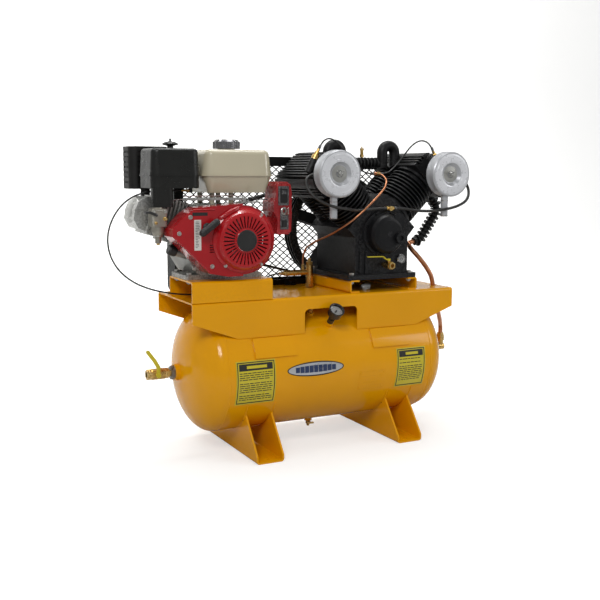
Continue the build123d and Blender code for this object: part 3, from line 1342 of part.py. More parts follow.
def relief_valve():
    """The brass relief valve standing on the intercooler's middle."""
    x = PUMP_X
    base = INTERCOOLER_Z + COOLER_FIN + FIT_GAP
    hexa = hexagon((x, INTERCOOLER_Y, base), UP, 14, 8)
    body = rod((x, INTERCOOLER_Y, base + 8), UP, 5.5, 16)
    top = rod((x, INTERCOOLER_Y, base + 24), UP, 7, 7)
    stem = rod((x, INTERCOOLER_Y, base + 31), UP, 2, 6)
    return joined([hexa, body, top, stem])


AFTERCOOLER_ROUTE = [
    (bank_point(1, 285, 78.3)[0], 0.0, bank_point(1, 285, 78.3)[1]),
    (bank_point(1, 285, 176)[0], 0.0, bank_point(1, 285, 176)[1]),
    AFTERCOOLER_TURN,
    AFTERCOOLER_END,
]
AFTERCOOLER_BENDS = [34, 16]


def aftercooler():
    """The finned tube beside the right bank: out of the head, down beside the barrels, then in."""
    path = FilletPolyline(*AFTERCOOLER_ROUTE, radius=AFTERCOOLER_BENDS)
    pieces = [tube_along(AFTERCOOLER_ROUTE, COOLER_TUBE, AFTERCOOLER_BENDS)]
    count = int(path.length / 14.5) - 1
    for index in range(1, count):
        place = path.position_at(index / count)
        way = path.tangent_at(index / count)
        pieces.append(rod([p - 2 * q for p, q in zip(place, way)], way, COOLER_FIN, 4))
    nut_way = path % 1
    pieces.append(hexagon([p - 14 * q for p, q in zip(AFTERCOOLER_END, nut_way)], nut_way, 28, 14))
    return joined(pieces)


def breather_tee():
    """The crankcase breather: a stub on the crankcase with a hose tail each way."""
    stub = rod((BREATHER_X, PUMP_FRONT, BREATHER_Z), FRONT, 8, PUMP_FRONT - BREATHER_Y + 9)
    bar = rod((BREATHER_X - 14, BREATHER_Y, BREATHER_Z), RIGHT, 6, 28)
    return joined([stub, bar])


SIGHT_AT = (284.0, 614.0)


def sight_glass():
    profile = [(0, 0), (17, 0), (17, 5), (14, 9), (12, 9), (11, 6), (0, 6)]
    return turned((SIGHT_AT[0], PUMP_FRONT, SIGHT_AT[1]), FRONT, profile)


DRAIN_VALVE_X = 216.0
DRAIN_VALVE_Z = 598.0
DRAIN_STEM_Y = -168.0


def oil_drain_valve():
    """A small ball valve on the crankcase's front."""
    face = PUMP_FRONT
    nipple = rod((DRAIN_VALVE_X, face, DRAIN_VALVE_Z), FRONT, 8, 18)
    body = rod((DRAIN_VALVE_X, face - 18, DRAIN_VALVE_Z), FRONT, 13, 30)
    rear = hexagon((DRAIN_VALVE_X, face - 14, DRAIN_VALVE_Z), FRONT, 22, 10)
    front = hexagon((DRAIN_VALVE_X, face - 44, DRAIN_VALVE_Z), FRONT, 22, 12)
    neck = rod((DRAIN_VALVE_X, DRAIN_STEM_Y, DRAIN_VALVE_Z), UP, 6, 16)
    bore = rod((DRAIN_VALVE_X, face - 40, DRAIN_VALVE_Z), FRONT, 7, 20)
    return joined([nipple, body, rear, front, neck]) - bore


def oil_drain_lever():
    """The lever lies across the valve to the left when it is shut."""
    z = DRAIN_VALVE_Z + 16 + RUNNING_GAP
    hub = rod((DRAIN_VALVE_X, DRAIN_STEM_Y, z), UP, 5.5, 6)
    arm = [(DRAIN_VALVE_X, DRAIN_STEM_Y, z + 3), (DRAIN_VALVE_X - 10, DRAIN_STEM_Y, z + 3),
           (DRAIN_VALVE_X - 24, DRAIN_STEM_Y, z + 14), (DRAIN_VALVE_X - 82, DRAIN_STEM_Y, z + 15)]
    strip = []
    for a, b in zip(arm, arm[1:]):
        along = Vector(*b) - Vector(*a)
        place = Plane(origin=a, x_dir=BACK, z_dir=along)
        strip.append(place * Box(10, 2.6, along.length + 1, align=(Align.CENTER, Align.CENTER, Align.MIN)))
    return joined([hub, *strip])


PIECES = [
    receiver_tank, feet, platform, engine_riser, pump_risers, mounting_bolts, outlet_bushing,
    outlet_valve_body, outlet_valve_lever, drain_cock_body, drain_cock_key, pressure_gauge, gauge_needle,
    safety_valve, safety_valve_ring, pilot_valve, check_valve, discharge_tube, pilot_tube, pump_hoses,
    throttle_cable, engine_crankcase, engine_cylinder, rocker_cover, fan_shroud, recoil_cover,
    recoil_handle, flywheel_fan, engine_crankshaft, engine_piston, fuel_tank, fuel_cap, air_cleaner,
    air_cleaner_nut, muffler, muffler_guard, carburettor, choke_lever, throttle_lever, control_plate,
    control_box, ignition_key, oil_cap, drive_pulley, pump_flywheel, drive_belts, belt_guard,
    pump_crankcase, pump_front_cover, pump_crankshaft, pump_cylinders, pump_heads, pump_pistons,
    pump_fittings, air_filters, intercooler, aftercooler, sight_glass, oil_drain_valve, oil_drain_lever,
]

os.makedirs("parts", exist_ok=True)

for make_piece in PIECES:
    export_step(make_piece(), f"parts/{make_piece.__name__}.step")
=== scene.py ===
import json
import random
from math import cos, pi, radians, sin, sqrt

import bmesh
import bpy
from mathutils import Matrix, Vector


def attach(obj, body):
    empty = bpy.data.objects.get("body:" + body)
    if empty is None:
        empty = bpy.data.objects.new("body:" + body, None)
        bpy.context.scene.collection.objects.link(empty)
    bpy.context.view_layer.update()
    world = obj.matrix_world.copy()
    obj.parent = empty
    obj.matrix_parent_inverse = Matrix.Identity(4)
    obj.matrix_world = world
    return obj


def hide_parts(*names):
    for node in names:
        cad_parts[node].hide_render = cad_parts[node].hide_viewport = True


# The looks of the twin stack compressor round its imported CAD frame. Everything is in metres:
# X to the right along the receiver, Y to the back, Z up, with the origin on the floor under it.

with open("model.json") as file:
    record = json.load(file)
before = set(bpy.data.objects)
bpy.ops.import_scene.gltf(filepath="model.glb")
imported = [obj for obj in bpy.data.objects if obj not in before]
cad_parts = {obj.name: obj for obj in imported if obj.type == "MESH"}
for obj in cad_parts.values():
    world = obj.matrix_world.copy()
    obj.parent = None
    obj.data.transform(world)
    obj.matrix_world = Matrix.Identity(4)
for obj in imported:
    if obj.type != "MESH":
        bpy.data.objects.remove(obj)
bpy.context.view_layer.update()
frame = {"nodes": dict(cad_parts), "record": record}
NODES = frame["nodes"]

UP = Vector((0, 0, 1))
FRONT = Vector((0, -1, 0))
BACK = Vector((0, 1, 0))
LEFT = Vector((-1, 0, 0))
RIGHT = Vector((1, 0, 0))
ROOT_HALF = sqrt(0.5)

# Places that the CAD part fixes
TANK_RADIUS = 0.2032
TANK_Z = 0.2645
TANK_HALF = 0.375
PLATFORM_TOP = 0.508
ENGINE = Vector((-0.322, 0, 0.699))
PUMP = Vector((0.2075, 0, 0.704))
GAUGE_WAY = Vector((0, -ROOT_HALF, ROOT_HALF))
SHROUD_FRONT = -0.180
COVER_FRONT = -0.135


# Camera

CAMERA_ROLL = 0.2565


def make_camera():
    """The camera looks at the object from the front, left of its middle and a little above it."""
    data = bpy.data.cameras.new("Camera")
    data.lens = 54.49
    data.sensor_width = 36.0
    data.shift_y = -0.0050
    camera = bpy.data.objects.new("Camera", data)
    bpy.context.scene.collection.objects.link(camera)
    place = Vector((-1.4315, -2.7461, 0.9057))
    target = Vector((-0.0333, 0.0, 0.4834))
    turn = (target - place).to_track_quat("-Z", "Y").to_matrix().to_4x4()
    roll = Matrix.Rotation(radians(CAMERA_ROLL), 4, "Z")
    camera.matrix_world = Matrix.Translation(place) @ turn @ roll
    bpy.context.scene.camera = camera


make_camera()


# Materials

def new_material(name):
    material = bpy.data.materials.new(name)
    material.use_nodes = True
    return material, material.node_tree.nodes, material.node_tree.links


def noise_node(nodes, links, scale, detail=4.0, stretch=(1, 1, 1)):
    """Noise over the object's own coordinates, in metres."""
    place = nodes.new("ShaderNodeTexCoord")
    mapping = nodes.new("ShaderNodeMapping")
    mapping.inputs["Scale"].default_value = stretch
    noise = nodes.new("ShaderNodeTexNoise")
    noise.inputs["Scale"].default_value = scale
    noise.inputs["Detail"].default_value = detail
    links.new(place.outputs["Object"], mapping.inputs["Vector"])
    links.new(mapping.outputs["Vector"], noise.inputs["Vector"])
    return noise


def remap(nodes, links, source, low, high, start=0.3, end=0.7):
    span = nodes.new("ShaderNodeMapRange")
    span.inputs["From Min"].default_value = start
    span.inputs["From Max"].default_value = end
    span.inputs["To Min"].default_value = low
    span.inputs["To Max"].default_value = high
    links.new(source, span.inputs["Value"])
    return span.outputs["Result"]


def mixed(nodes, links, factor, low, high):
    """A colour between two colours, or between a socket and a colour."""
    mix = nodes.new("ShaderNodeMix")
    mix.data_type = "RGBA"
    links.new(factor, mix.inputs["Factor"])
    for value, index in ((low, 6), (high, 7)):
        if isinstance(value, tuple):
            mix.inputs[index].default_value = (*value, 1)
        else:
            links.new(value, mix.inputs[index])
    return mix.outputs[2]


def surface(name, colour, rough, metal=0.0, vary=0.12, patch=9.0, grain=900.0, relief=0.00006, spread=0.06,
            edge=None, edge_width=0.08, dust=None, coat=0.0, stretch=(1, 1, 1), specular=0.5):
    """A finish with patchy colour and gloss, a fine relief, and worn edges or dust where asked.

    colour is linear; vary is the patches' relative spread; grain is the relief's noise scale and relief its
    height in metres; edge is the colour of worn edges and dust the colour that settles on top."""
    material, nodes, links = new_material(name)
    shader = nodes["Principled BSDF"]
    shader.inputs["Metallic"].default_value = metal
    shader.inputs["Coat Weight"].default_value = coat
    shader.inputs["Coat Roughness"].default_value = 0.08
    shader.inputs["Specular IOR Level"].default_value = specular
    patches = noise_node(nodes, links, patch, stretch=stretch)
    dark = tuple(channel * (1 - vary) for channel in colour)
    light = tuple(min(1.0, channel * (1 + vary)) for channel in colour)
    tint = mixed(nodes, links, remap(nodes, links, patches.outputs["Fac"], 0, 1), dark, light)
    if edge:
        geometry = nodes.new("ShaderNodeNewGeometry")
        sharp = geometry.outputs["Pointiness"]
        worn = remap(nodes, links, sharp, 0, 1, 0.5 + edge_width * 0.4, 0.5 + edge_width)
        breaks = noise_node(nodes, links, 160.0)
        part = nodes.new("ShaderNodeMath")
        part.operation = "MULTIPLY"
        links.new(worn, part.inputs[0])
        links.new(remap(nodes, links, breaks.outputs["Fac"], 0, 0.8, 0.42, 0.6), part.inputs[1])
        tint = mixed(nodes, links, part.outputs[0], tint, edge)
    if dust:
        geometry = nodes.new("ShaderNodeNewGeometry")
        split = nodes.new("ShaderNodeSeparateXYZ")
        links.new(geometry.outputs["Normal"], split.inputs["Vector"])
        settled = nodes.new("ShaderNodeMath")
        settled.operation = "MULTIPLY"
        links.new(remap(nodes, links, split.outputs["Z"], 0, 0.35, 0.4, 1.0), settled.inputs[0])
        cloud = noise_node(nodes, links, 26.0)
        links.new(remap(nodes, links, cloud.outputs["Fac"], 0.1, 1, 0.35, 0.7), settled.inputs[1])
        tint = mixed(nodes, links, settled.outputs[0], tint, dust)
    links.new(tint, shader.inputs["Base Color"])
    gloss = noise_node(nodes, links, patch * 4)
    links.new(remap(nodes, links, gloss.outputs["Fac"], max(0.02, rough - spread), rough + spread),
              shader.inputs["Roughness"])
    relief_noise = noise_node(nodes, links, grain, detail=2.0, stretch=stretch)
    bump = nodes.new("ShaderNodeBump")
    bump.inputs["Strength"].default_value = 1.0
    bump.inputs["Distance"].default_value = relief
    links.new(relief_noise.outputs["Fac"], bump.inputs["Height"])
    links.new(bump.outputs["Normal"], shader.inputs["Normal"])
    return material


DUST = (0.16, 0.15, 0.13)
FINISHES = {
    "yellow_paint": surface("yellow_enamel", (0.78, 0.345, 0.0008), 0.14, vary=0.035, patch=4.0, grain=260.0,
                            relief=0.00010, spread=0.03, coat=0.18, specular=0.22, edge=(0.60, 0.25, 0.004),
                            edge_width=0.3),
    "bolt_steel": surface("zinc_steel", (0.50, 0.49, 0.46), 0.34, metal=1.0, patch=60.0, relief=0.00003,
                          edge=(0.75, 0.74, 0.7)),
    "bushing_steel": surface("forged_steel", (0.24, 0.23, 0.22), 0.42, metal=1.0, patch=50.0),
    "brass": surface("brass", (0.62, 0.40, 0.13), 0.30, metal=1.0, vary=0.22, patch=45.0, grain=1400.0,
                     edge=(0.9, 0.68, 0.3)),
    "lever_yellow": surface("yellow_sleeve", (0.62, 0.52, 0.02), 0.42, vary=0.10, patch=60.0),
    "gauge_black": surface("gauge_black", (0.012, 0.012, 0.012), 0.28, coat=0.3),
    "needle_black": surface("needle_black", (0.01, 0.01, 0.01), 0.5),
    "ring_steel": surface("bright_steel", (0.52, 0.52, 0.50), 0.28, metal=1.0, patch=50.0),
    "copper": surface("copper", (0.52, 0.22, 0.11), 0.34, metal=1.0, vary=0.25, patch=34.0, grain=700.0,
                      edge=(0.75, 0.4, 0.25)),
    "hose_rubber": surface("hose_rubber", (0.014, 0.014, 0.013), 0.48, grain=1800.0, relief=0.00008),
    "cable_jacket": surface("cable_jacket", (0.010, 0.010, 0.010), 0.34, grain=1200.0),
    "engine_alloy": surface("engine_alloy", (0.26, 0.26, 0.245), 0.46, metal=0.75, vary=0.22, patch=14.0,
                            grain=620.0, relief=0.00028, edge=(0.55, 0.55, 0.52), dust=DUST),
    "shroud_red": surface("red_enamel", (0.36, 0.006, 0.010), 0.20, vary=0.08, patch=6.0, grain=300.0,
                          relief=0.00010, coat=0.45, specular=0.3, edge=(0.22, 0.02, 0.02), edge_width=0.3),
    "recoil_red": surface("recoil_enamel", (0.40, 0.006, 0.010), 0.20, vary=0.08, patch=8.0, grain=300.0,
                          relief=0.00010, coat=0.45, specular=0.3, edge=(0.50, 0.06, 0.05), edge_width=0.3),
    "grip_black": surface("grip_black", (0.012, 0.012, 0.012), 0.46, grain=1500.0, relief=0.0001),
    "inner_steel": surface("machined_steel", (0.40, 0.40, 0.41), 0.3, metal=1.0, stretch=(1, 12, 1)),
    "fan_alloy": surface("fan_alloy", (0.30, 0.30, 0.30), 0.45, metal=0.8, grain=500.0, relief=0.0002),
    "cream_paint": surface("cream_enamel", (0.50, 0.455, 0.33), 0.20, vary=0.04, patch=5.0, grain=300.0,
                           relief=0.00010, coat=0.6, edge=(0.48, 0.43, 0.30), edge_width=0.3),
    "cap_chrome": surface("cap_plating", (0.30, 0.30, 0.31), 0.20, metal=1.0, patch=40.0),
    "cleaner_black": surface("cleaner_plastic", (0.009, 0.0095, 0.0085), 0.30, grain=1500.0, relief=0.00012,
                             coat=0.05, specular=0.35, edge=(0.03, 0.03, 0.03), edge_width=0.3),
    "muffler_steel": surface("muffler_steel", (0.010, 0.0095, 0.009), 0.46, vary=0.3, patch=24.0,
                             specular=0.3, edge=(0.035, 0.03, 0.026), edge_width=0.3),
    "carb_alloy": surface("carburettor_alloy", (0.36, 0.34, 0.29), 0.42, metal=0.8, vary=0.2, patch=40.0,
                          grain=700.0, relief=0.0002, edge=(0.6, 0.58, 0.52)),
    "lever_black": surface("lever_black", (0.02, 0.02, 0.02), 0.4, edge=(0.2, 0.2, 0.2)),
    "box_red": surface("box_red", (0.34, 0.008, 0.012), 0.26, vary=0.06, grain=500.0, coat=0.4,
                       edge=(0.58, 0.06, 0.06), edge_width=0.12),
    "key_steel": surface("key_steel", (0.55, 0.54, 0.5), 0.25, metal=1.0),
    "pulley_iron": surface("pulley_iron", (0.008, 0.008, 0.008), 0.4, patch=20.0, grain=500.0, specular=0.25,
                           relief=0.0002, edge=(0.06, 0.06, 0.055), dust=(0.03, 0.03, 0.028)),
    "belt_rubber": surface("belt_rubber", (0.018, 0.017, 0.016), 0.6, grain=900.0, relief=0.0002),
    "guard_black": surface("guard_powder", (0.006, 0.006, 0.006), 0.42, specular=0.2, patch=12.0,
                           grain=1100.0, relief=0.0001, edge=(0.02, 0.02, 0.02), edge_width=0.4),
    "pump_black": surface("pump_black", (0.006, 0.0063, 0.0072), 0.40, vary=0.25, patch=16.0, specular=0.22,
                          grain=420.0, relief=0.00045, edge=(0.028, 0.028, 0.03), dust=(0.022, 0.022, 0.021)),
    "fin_alloy": surface("fin_black", (0.006, 0.006, 0.0065), 0.42, vary=0.25, patch=18.0, grain=420.0,
                         specular=0.25, relief=0.0004, edge=(0.03, 0.03, 0.03), dust=(0.024, 0.024, 0.022)),
    "filter_silver": surface("filter_silver", (0.46, 0.47, 0.49), 0.34, metal=0.35, vary=0.07, patch=14.0,
                             grain=900.0, relief=0.00005, edge=(0.54, 0.54, 0.55), edge_width=0.4),
    "sight_glass": surface("sight_rim", (0.5, 0.5, 0.5), 0.25, metal=1.0),
}
RED = FINISHES["shroud_red"]
STEEL = FINISHES["bolt_steel"]
BLACK = FINISHES["grip_black"]
BRIGHT_SILVER = surface("filter_face", (0.68, 0.69, 0.72), 0.30, metal=0.2, vary=0.05,
                        patch=20.0, grain=900.0)
DISH_GREY = surface("filter_dish", (0.36, 0.36, 0.34), 0.36, metal=0.6, vary=0.12, patch=30.0)
DIAL_WHITE = surface("dial_white", (0.80, 0.80, 0.78), 0.4, vary=0.02)
INK = surface("ink", (0.012, 0.012, 0.012), 0.5, vary=0.05)
BLUE_INK = surface("badge_blue", (0.012, 0.03, 0.10), 0.3, vary=0.1, coat=0.3)
LABEL_YELLOW = surface("label_yellow", (0.60, 0.50, 0.02), 0.32, vary=0.03, coat=0.3)
LABEL_WHITE = surface("label_white", (0.62, 0.60, 0.56), 0.34, vary=0.05)
LABEL_SILVER = surface("label_silver", (0.55, 0.57, 0.60), 0.3, metal=0.6, vary=0.05)
PANEL_GREY = surface("panel_grey", (0.05, 0.05, 0.055), 0.4, vary=0.15, patch=60.0, edge=(0.2, 0.2, 0.2))
WORN_ALLOY = surface("rocker_alloy", (0.46, 0.46, 0.44), 0.34, metal=0.9, vary=0.18, patch=16.0, grain=500.0,
                     relief=0.0002, edge=(0.7, 0.7, 0.68))


def clear_glass():
    """Clear glass with a faint smear in its gloss."""
    material, nodes, links = new_material("clear_lens")
    shader = nodes["Principled BSDF"]
    shader.inputs["Transmission Weight"].default_value = 1.0
    shader.inputs["IOR"].default_value = 1.46
    smear = noise_node(nodes, links, 60.0)
    links.new(remap(nodes, links, smear.outputs["Fac"], 0.0, 0.05), shader.inputs["Roughness"])
    return material


GLASS = clear_glass()
FINISH_BY_NODE = {"rocker_cover": WORN_ALLOY}

for part in frame["record"]["subparts"]:
    cad_mesh = NODES[part["node"]].data
    finish = FINISH_BY_NODE.get(part["node"], FINISHES[part["material_slot"]])
    cad_mesh.materials.clear()
    cad_mesh.materials.append(finish)


# Mesh helpers

def add_piece(name, bm, materials, body="frame", smooth=True):
    """Make an object of a bmesh, with its materials, riding on a body."""
    bmesh.ops.recalc_face_normals(bm, faces=bm.faces)
    mesh = bpy.data.meshes.new(name)
    bm.to_mesh(mesh)
    bm.free()
    for material in materials if isinstance(materials, list) else [materials]:
        mesh.materials.append(material)
    obj = bpy.data.objects.new(name, mesh)
    bpy.context.scene.collection.objects.link(obj)
    if smooth:
        mesh.shade_smooth()
        split = obj.modifiers.new("Sharp edges", "EDGE_SPLIT")
        split.split_angle = radians(32)
    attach(obj, body)
    return obj


def place_along(start, way):
    """A frame at start with its Z along way."""
    return Matrix.Translation(start) @ Vector(way).normalized().to_track_quat("Z", "Y").to_matrix().to_4x4()


def add_circle(bm, place, radius, level, steps):
    """A ring of new points round a frame's Z."""
    turns = [2 * pi * i / steps for i in range(steps)]
    return [bm.verts.new(place @ Vector((radius * cos(turn), radius * sin(turn), level))) for turn in turns]


def add_ring(bm, centre, side, other, steps):
    """A ring of new points between two half axes."""
    turns = [2 * pi * i / steps for i in range(steps)]
    return [bm.verts.new(centre + side * cos(turn) + other * sin(turn)) for turn in turns]


def join_rings(bm, low, high, material=0):
    """The faces between two rings of as many points."""
    for i in range(len(low)):
        j = (i + 1) % len(low)
        bm.faces.new((low[i], low[j], high[j], high[i])).material_index = material


def add_lathe(bm, start, way, outline, steps=32, material=0):
    """A turned shape from (radius, height) points; a radius of 0 closes it on the axis."""
    place = place_along(start, way)
    rings = []
    for radius, height in outline:
        if radius <= 0:
            rings.append([bm.verts.new(place @ Vector((0, 0, height)))])
            continue
        rings.append(add_circle(bm, place, radius, height, steps))
    for low, high in zip(rings, rings[1:]):
        for i in range(steps):
            j = (i + 1) % steps
            corners = [low[i % len(low)], low[j % len(low)], high[j % len(high)], high[i % len(high)]]
            unique = list(dict.fromkeys(corners))
            if len(unique) > 2:
                bm.faces.new(unique).material_index = material


def add_hex(bm, start, way, flats, height, material=0, turn=0.0):
    """A hexagon with a chamfered top edge."""
    place = place_along(start, way) @ Matrix.Rotation(turn, 4, "Z")
    corner = flats / sqrt(3)
    rings = []
    for scale, level in ((1.0, 0.0), (1.0, height * 0.82), (0.88, height)):
        rings.append(add_circle(bm, place, corner * scale, level, 6))
    for low, high in zip(rings, rings[1:]):
        join_rings(bm, low, high, material)
    bm.faces.new(rings[-1]).material_index = material
    bm.faces.new(list(reversed(rings[0]))).material_index = material


def add_bolt(bm, start, way, flats, material=0, turn=0.3):
    """A washer with a hexagon head on it."""
    way = Vector(way).normalized()
    washer = flats * 0.14
    add_lathe(bm, start, way, [(0, 0), (flats * 0.85, 0), (flats * 0.85, washer * 0.7), (flats * 0.8, washer),
                               (0, washer)], 20, material)
    add_hex(bm, Vector(start) + way * washer, way, flats, flats * 0.6, material, turn)


def add_bar(bm, low, high, material=0, bevel=0.0):
    """A box between two corners, with its edges rounded where asked."""
    made = bmesh.ops.create_cube(bm, size=1.0)["verts"]
    for vert in made:
        vert.co = Vector([(a + b) / 2 + (b - a) * c for a, b, c in zip(low, high, vert.co)])
    edges = list({edge for vert in made for edge in vert.link_edges})
    faces = list({face for vert in made for face in vert.link_faces})
    for face in faces:
        face.material_index = material
    if bevel:
        made = bmesh.ops.bevel(bm, geom=edges, offset=bevel, segments=2, affect="EDGES")
        for face in made["faces"]:
            face.material_index = material


def add_tube(bm, points, radius, steps=12, material=0):
    """A closed tube that follows the points."""
    points = [Vector(p) for p in points]
    rings = []
    side = None
    for index, point in enumerate(points):
        before = points[max(0, index - 1)]
        after = points[min(len(points) - 1, index + 1)]
        way = (after - before).normalized()
        if side is None:
            side = way.orthogonal().normalized()
        side = (side - way * side.dot(way)).normalized()
        other = way.cross(side)
        rings.append(add_ring(bm, point, side * radius, other * radius, steps))
    for low, high in zip(rings, rings[1:]):
        join_rings(bm, low, high, material)
    bm.faces.new(rings[0]).material_index = material
    bm.faces.new(rings[-1]).material_index = material


def helix(start, end, radius, turns, steps=14):
    """Points of a coil spring between two points."""
    place = place_along(start, Vector(end) - Vector(start))
    length = (Vector(end) - Vector(start)).length
    count = int(turns * steps)
    points = []
    for i in range(count + 1):
        turn = 2 * pi * i / steps
        points.append(place @ Vector((radius * cos(turn), radius * sin(turn), length * i / count)))
    return points


# Cords: the same points as the CAD routes

BREATHER_RIGHT = [
    (0.236, -0.160, 0.788), (0.268, -0.160, 0.788), (0.302, -0.167, 0.782), (0.336, -0.187, 0.778),
    (0.370, -0.214, 0.780), (0.412, -0.230, 0.787), (0.456, -0.228, 0.797), (0.494, -0.217, 0.812),
    (0.518, -0.200, 0.836), (0.522, -0.184, 0.864), (0.506, -0.173, 0.890), (0.479, -0.167, 0.902),
    (0.450, -0.167, 0.902),
]
BREATHER_LEFT = [
    (0.208, -0.160, 0.788), (0.176, -0.160, 0.788), (0.140, -0.161, 0.785), (0.104, -0.166, 0.783),
    (0.066, -0.182, 0.785), (0.026, -0.212, 0.791), (-0.018, -0.230, 0.796), (-0.062, -0.226, 0.808),
    (-0.098, -0.207, 0.834), (-0.110, -0.186, 0.868), (-0.098, -0.173, 0.892), (-0.067, -0.167, 0.902),
    (-0.035, -0.167, 0.902),
]
UNLOADER_RIGHT = [
    (0.2195, -0.095, 0.903), (0.248, -0.095, 0.903), (0.276, -0.091, 0.921), (0.304, -0.088, 0.946),
    (0.328, -0.088, 0.974), (0.352, -0.089, 1.001), (0.382, -0.092, 1.018), (0.409, -0.097, 1.014),
    (0.42585, -0.100, 0.99583), (0.4326, -0.100, 0.98244),
]
THROTTLE_CABLE = [
    (-0.448, -0.050, 0.849), (-0.496, -0.050, 0.849), (-0.545, -0.049, 0.848), (-0.592, -0.050, 0.845),
    (-0.643, -0.048, 0.825), (-0.683, -0.045, 0.784), (-0.707, -0.042, 0.727), (-0.706, -0.040, 0.668),
    (-0.682, -0.040, 0.614), (-0.636, -0.040, 0.571), (-0.576, -0.040, 0.543), (-0.510, -0.040, 0.527),
    (-0.444, -0.039, 0.519), (-0.378, -0.035, 0.516), (-0.312, -0.026, 0.518), (-0.248, -0.010, 0.525),
    (-0.190, 0.014, 0.537), (-0.142, 0.040, 0.552), (-0.104, 0.057, 0.561), (-0.066, 0.057, 0.561),
]


def make_cord(name, points, radius, node, slot):
    """A round line through the points, with its ends on the object, riding on the frame."""
    curve = bpy.data.curves.new(name, "CURVE")
    curve.dimensions = "3D"
    curve.bevel_depth = radius
    curve.bevel_resolution = 4
    curve.use_fill_caps = True
    curve.resolution_u = 16
    spline = curve.splines.new("NURBS")
    spline.points.add(len(points) - 1)
    for target, point in zip(spline.points, points):
        target.co = (*point, 1)
    spline.order_u = 3
    spline.use_endpoint_u = True
    curve.materials.append(FINISHES[slot])
    obj = bpy.data.objects.new(name, curve)
    bpy.context.scene.collection.objects.link(obj)
    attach(obj, "frame")
    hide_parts(node)
    return obj


def across_pump(points):
    """A route on the right bank, reflected to the left bank."""
    return [(2 * PUMP.x - x, y, z) for x, y, z in points]


make_cord("BreatherHoseRight", BREATHER_RIGHT, 0.00475, "pump_hoses", "hose_rubber")
make_cord("BreatherHoseLeft", BREATHER_LEFT, 0.00475, "pump_hoses", "hose_rubber")
make_cord("UnloaderHoseRight", UNLOADER_RIGHT, 0.0026, "pump_hoses", "hose_rubber")
make_cord("UnloaderHoseLeft", across_pump(UNLOADER_RIGHT), 0.0026, "pump_hoses", "hose_rubber")
make_cord("ThrottleCable", THROTTLE_CABLE, 0.0026, "throttle_cable", "cable_jacket")


# Receiver

def on_tank(x, z, lift):
    """A point on the front of the receiver's shell at a height."""
    rise = z - TANK_Z
    reach = sqrt(TANK_RADIUS ** 2 - rise ** 2)
    out = (TANK_RADIUS + lift) / TANK_RADIUS
    return Vector((x, -reach * out, TANK_Z + rise * out))


def add_tank_patch(bm, low, high, lift, material=0, rows=10):
    """A thin closed patch that follows the shell between two (x, z) corners."""
    (x0, z0), (x1, z1) = low, high
    levels = [z0 + (z1 - z0) * i / rows for i in range(rows + 1)]
    outer = [[bm.verts.new(on_tank(x, z, lift)) for x in (x0, x1)] for z in levels]
    inner = [[bm.verts.new(on_tank(x, z, lift - 0.0003)) for x in (x0, x1)] for z in levels]
    for i in range(rows):
        out, out_next, back, back_next = outer[i], outer[i + 1], inner[i], inner[i + 1]
        bm.faces.new((out[0], out[1], out_next[1], out_next[0])).material_index = material
        bm.faces.new((back[1], back[0], back_next[0], back_next[1])).material_index = material
        for k in (0, 1):
            bm.faces.new((out[k], out_next[k], back_next[k], back[k])).material_index = material
    for i in (0, rows):
        bm.faces.new((outer[i][0], outer[i][1], inner[i][1], inner[i][0])).material_index = material


def instruction_plate(name, low, high, seed):
    """A yellow plate with a dark border, a dark heading and rows of short dark strokes."""
    draw = random.Random(seed)
    bm = bmesh.new()
    (x0, z0), (x1, z1) = low, high
    add_tank_patch(bm, low, high, 0.0007, 0, 14)
    edge = 0.003
    inset = 0.0035
    lift = 0.00095
    for a, b in (((x0 + inset, z0 + inset), (x1 - inset, z0 + inset + edge)),
                 ((x0 + inset, z1 - inset - edge), (x1 - inset, z1 - inset))):
        add_tank_patch(bm, a, b, lift, 1, 2)
    for x in (x0 + inset, x1 - inset - edge):
        add_tank_patch(bm, (x, z0 + inset), (x + edge, z1 - inset), lift, 1, 14)
    head = z1 - 0.030
    add_tank_patch(bm, (x0 + 0.010, head), (x1 - 0.010, z1 - 0.009), lift, 1, 3)
    add_tank_patch(bm, (x0 + 0.036, head + 0.006), (x1 - 0.030, z1 - 0.015), lift + 0.0003, 0, 2)
    z = head - 0.009
    while z > z0 + 0.012:
        x = x0 + 0.011
        while x < x1 - 0.020:
            stroke = draw.uniform(0.006, 0.020)
            end = min(x + stroke, x1 - 0.011)
            add_tank_patch(bm, (x, z), (end, z + 0.0026), lift, 1, 1)
            x = end + 0.0028
        z -= 0.0068 if draw.random() < 0.8 else 0.0125
    add_piece(name, bm, [LABEL_YELLOW, INK], smooth=False)


instruction_plate("InstructionPlateLeft", (-0.356, 0.182), (-0.221, 0.322), 3)
instruction_plate("InstructionPlateRight", (0.233, 0.181), (0.349, 0.316), 8)


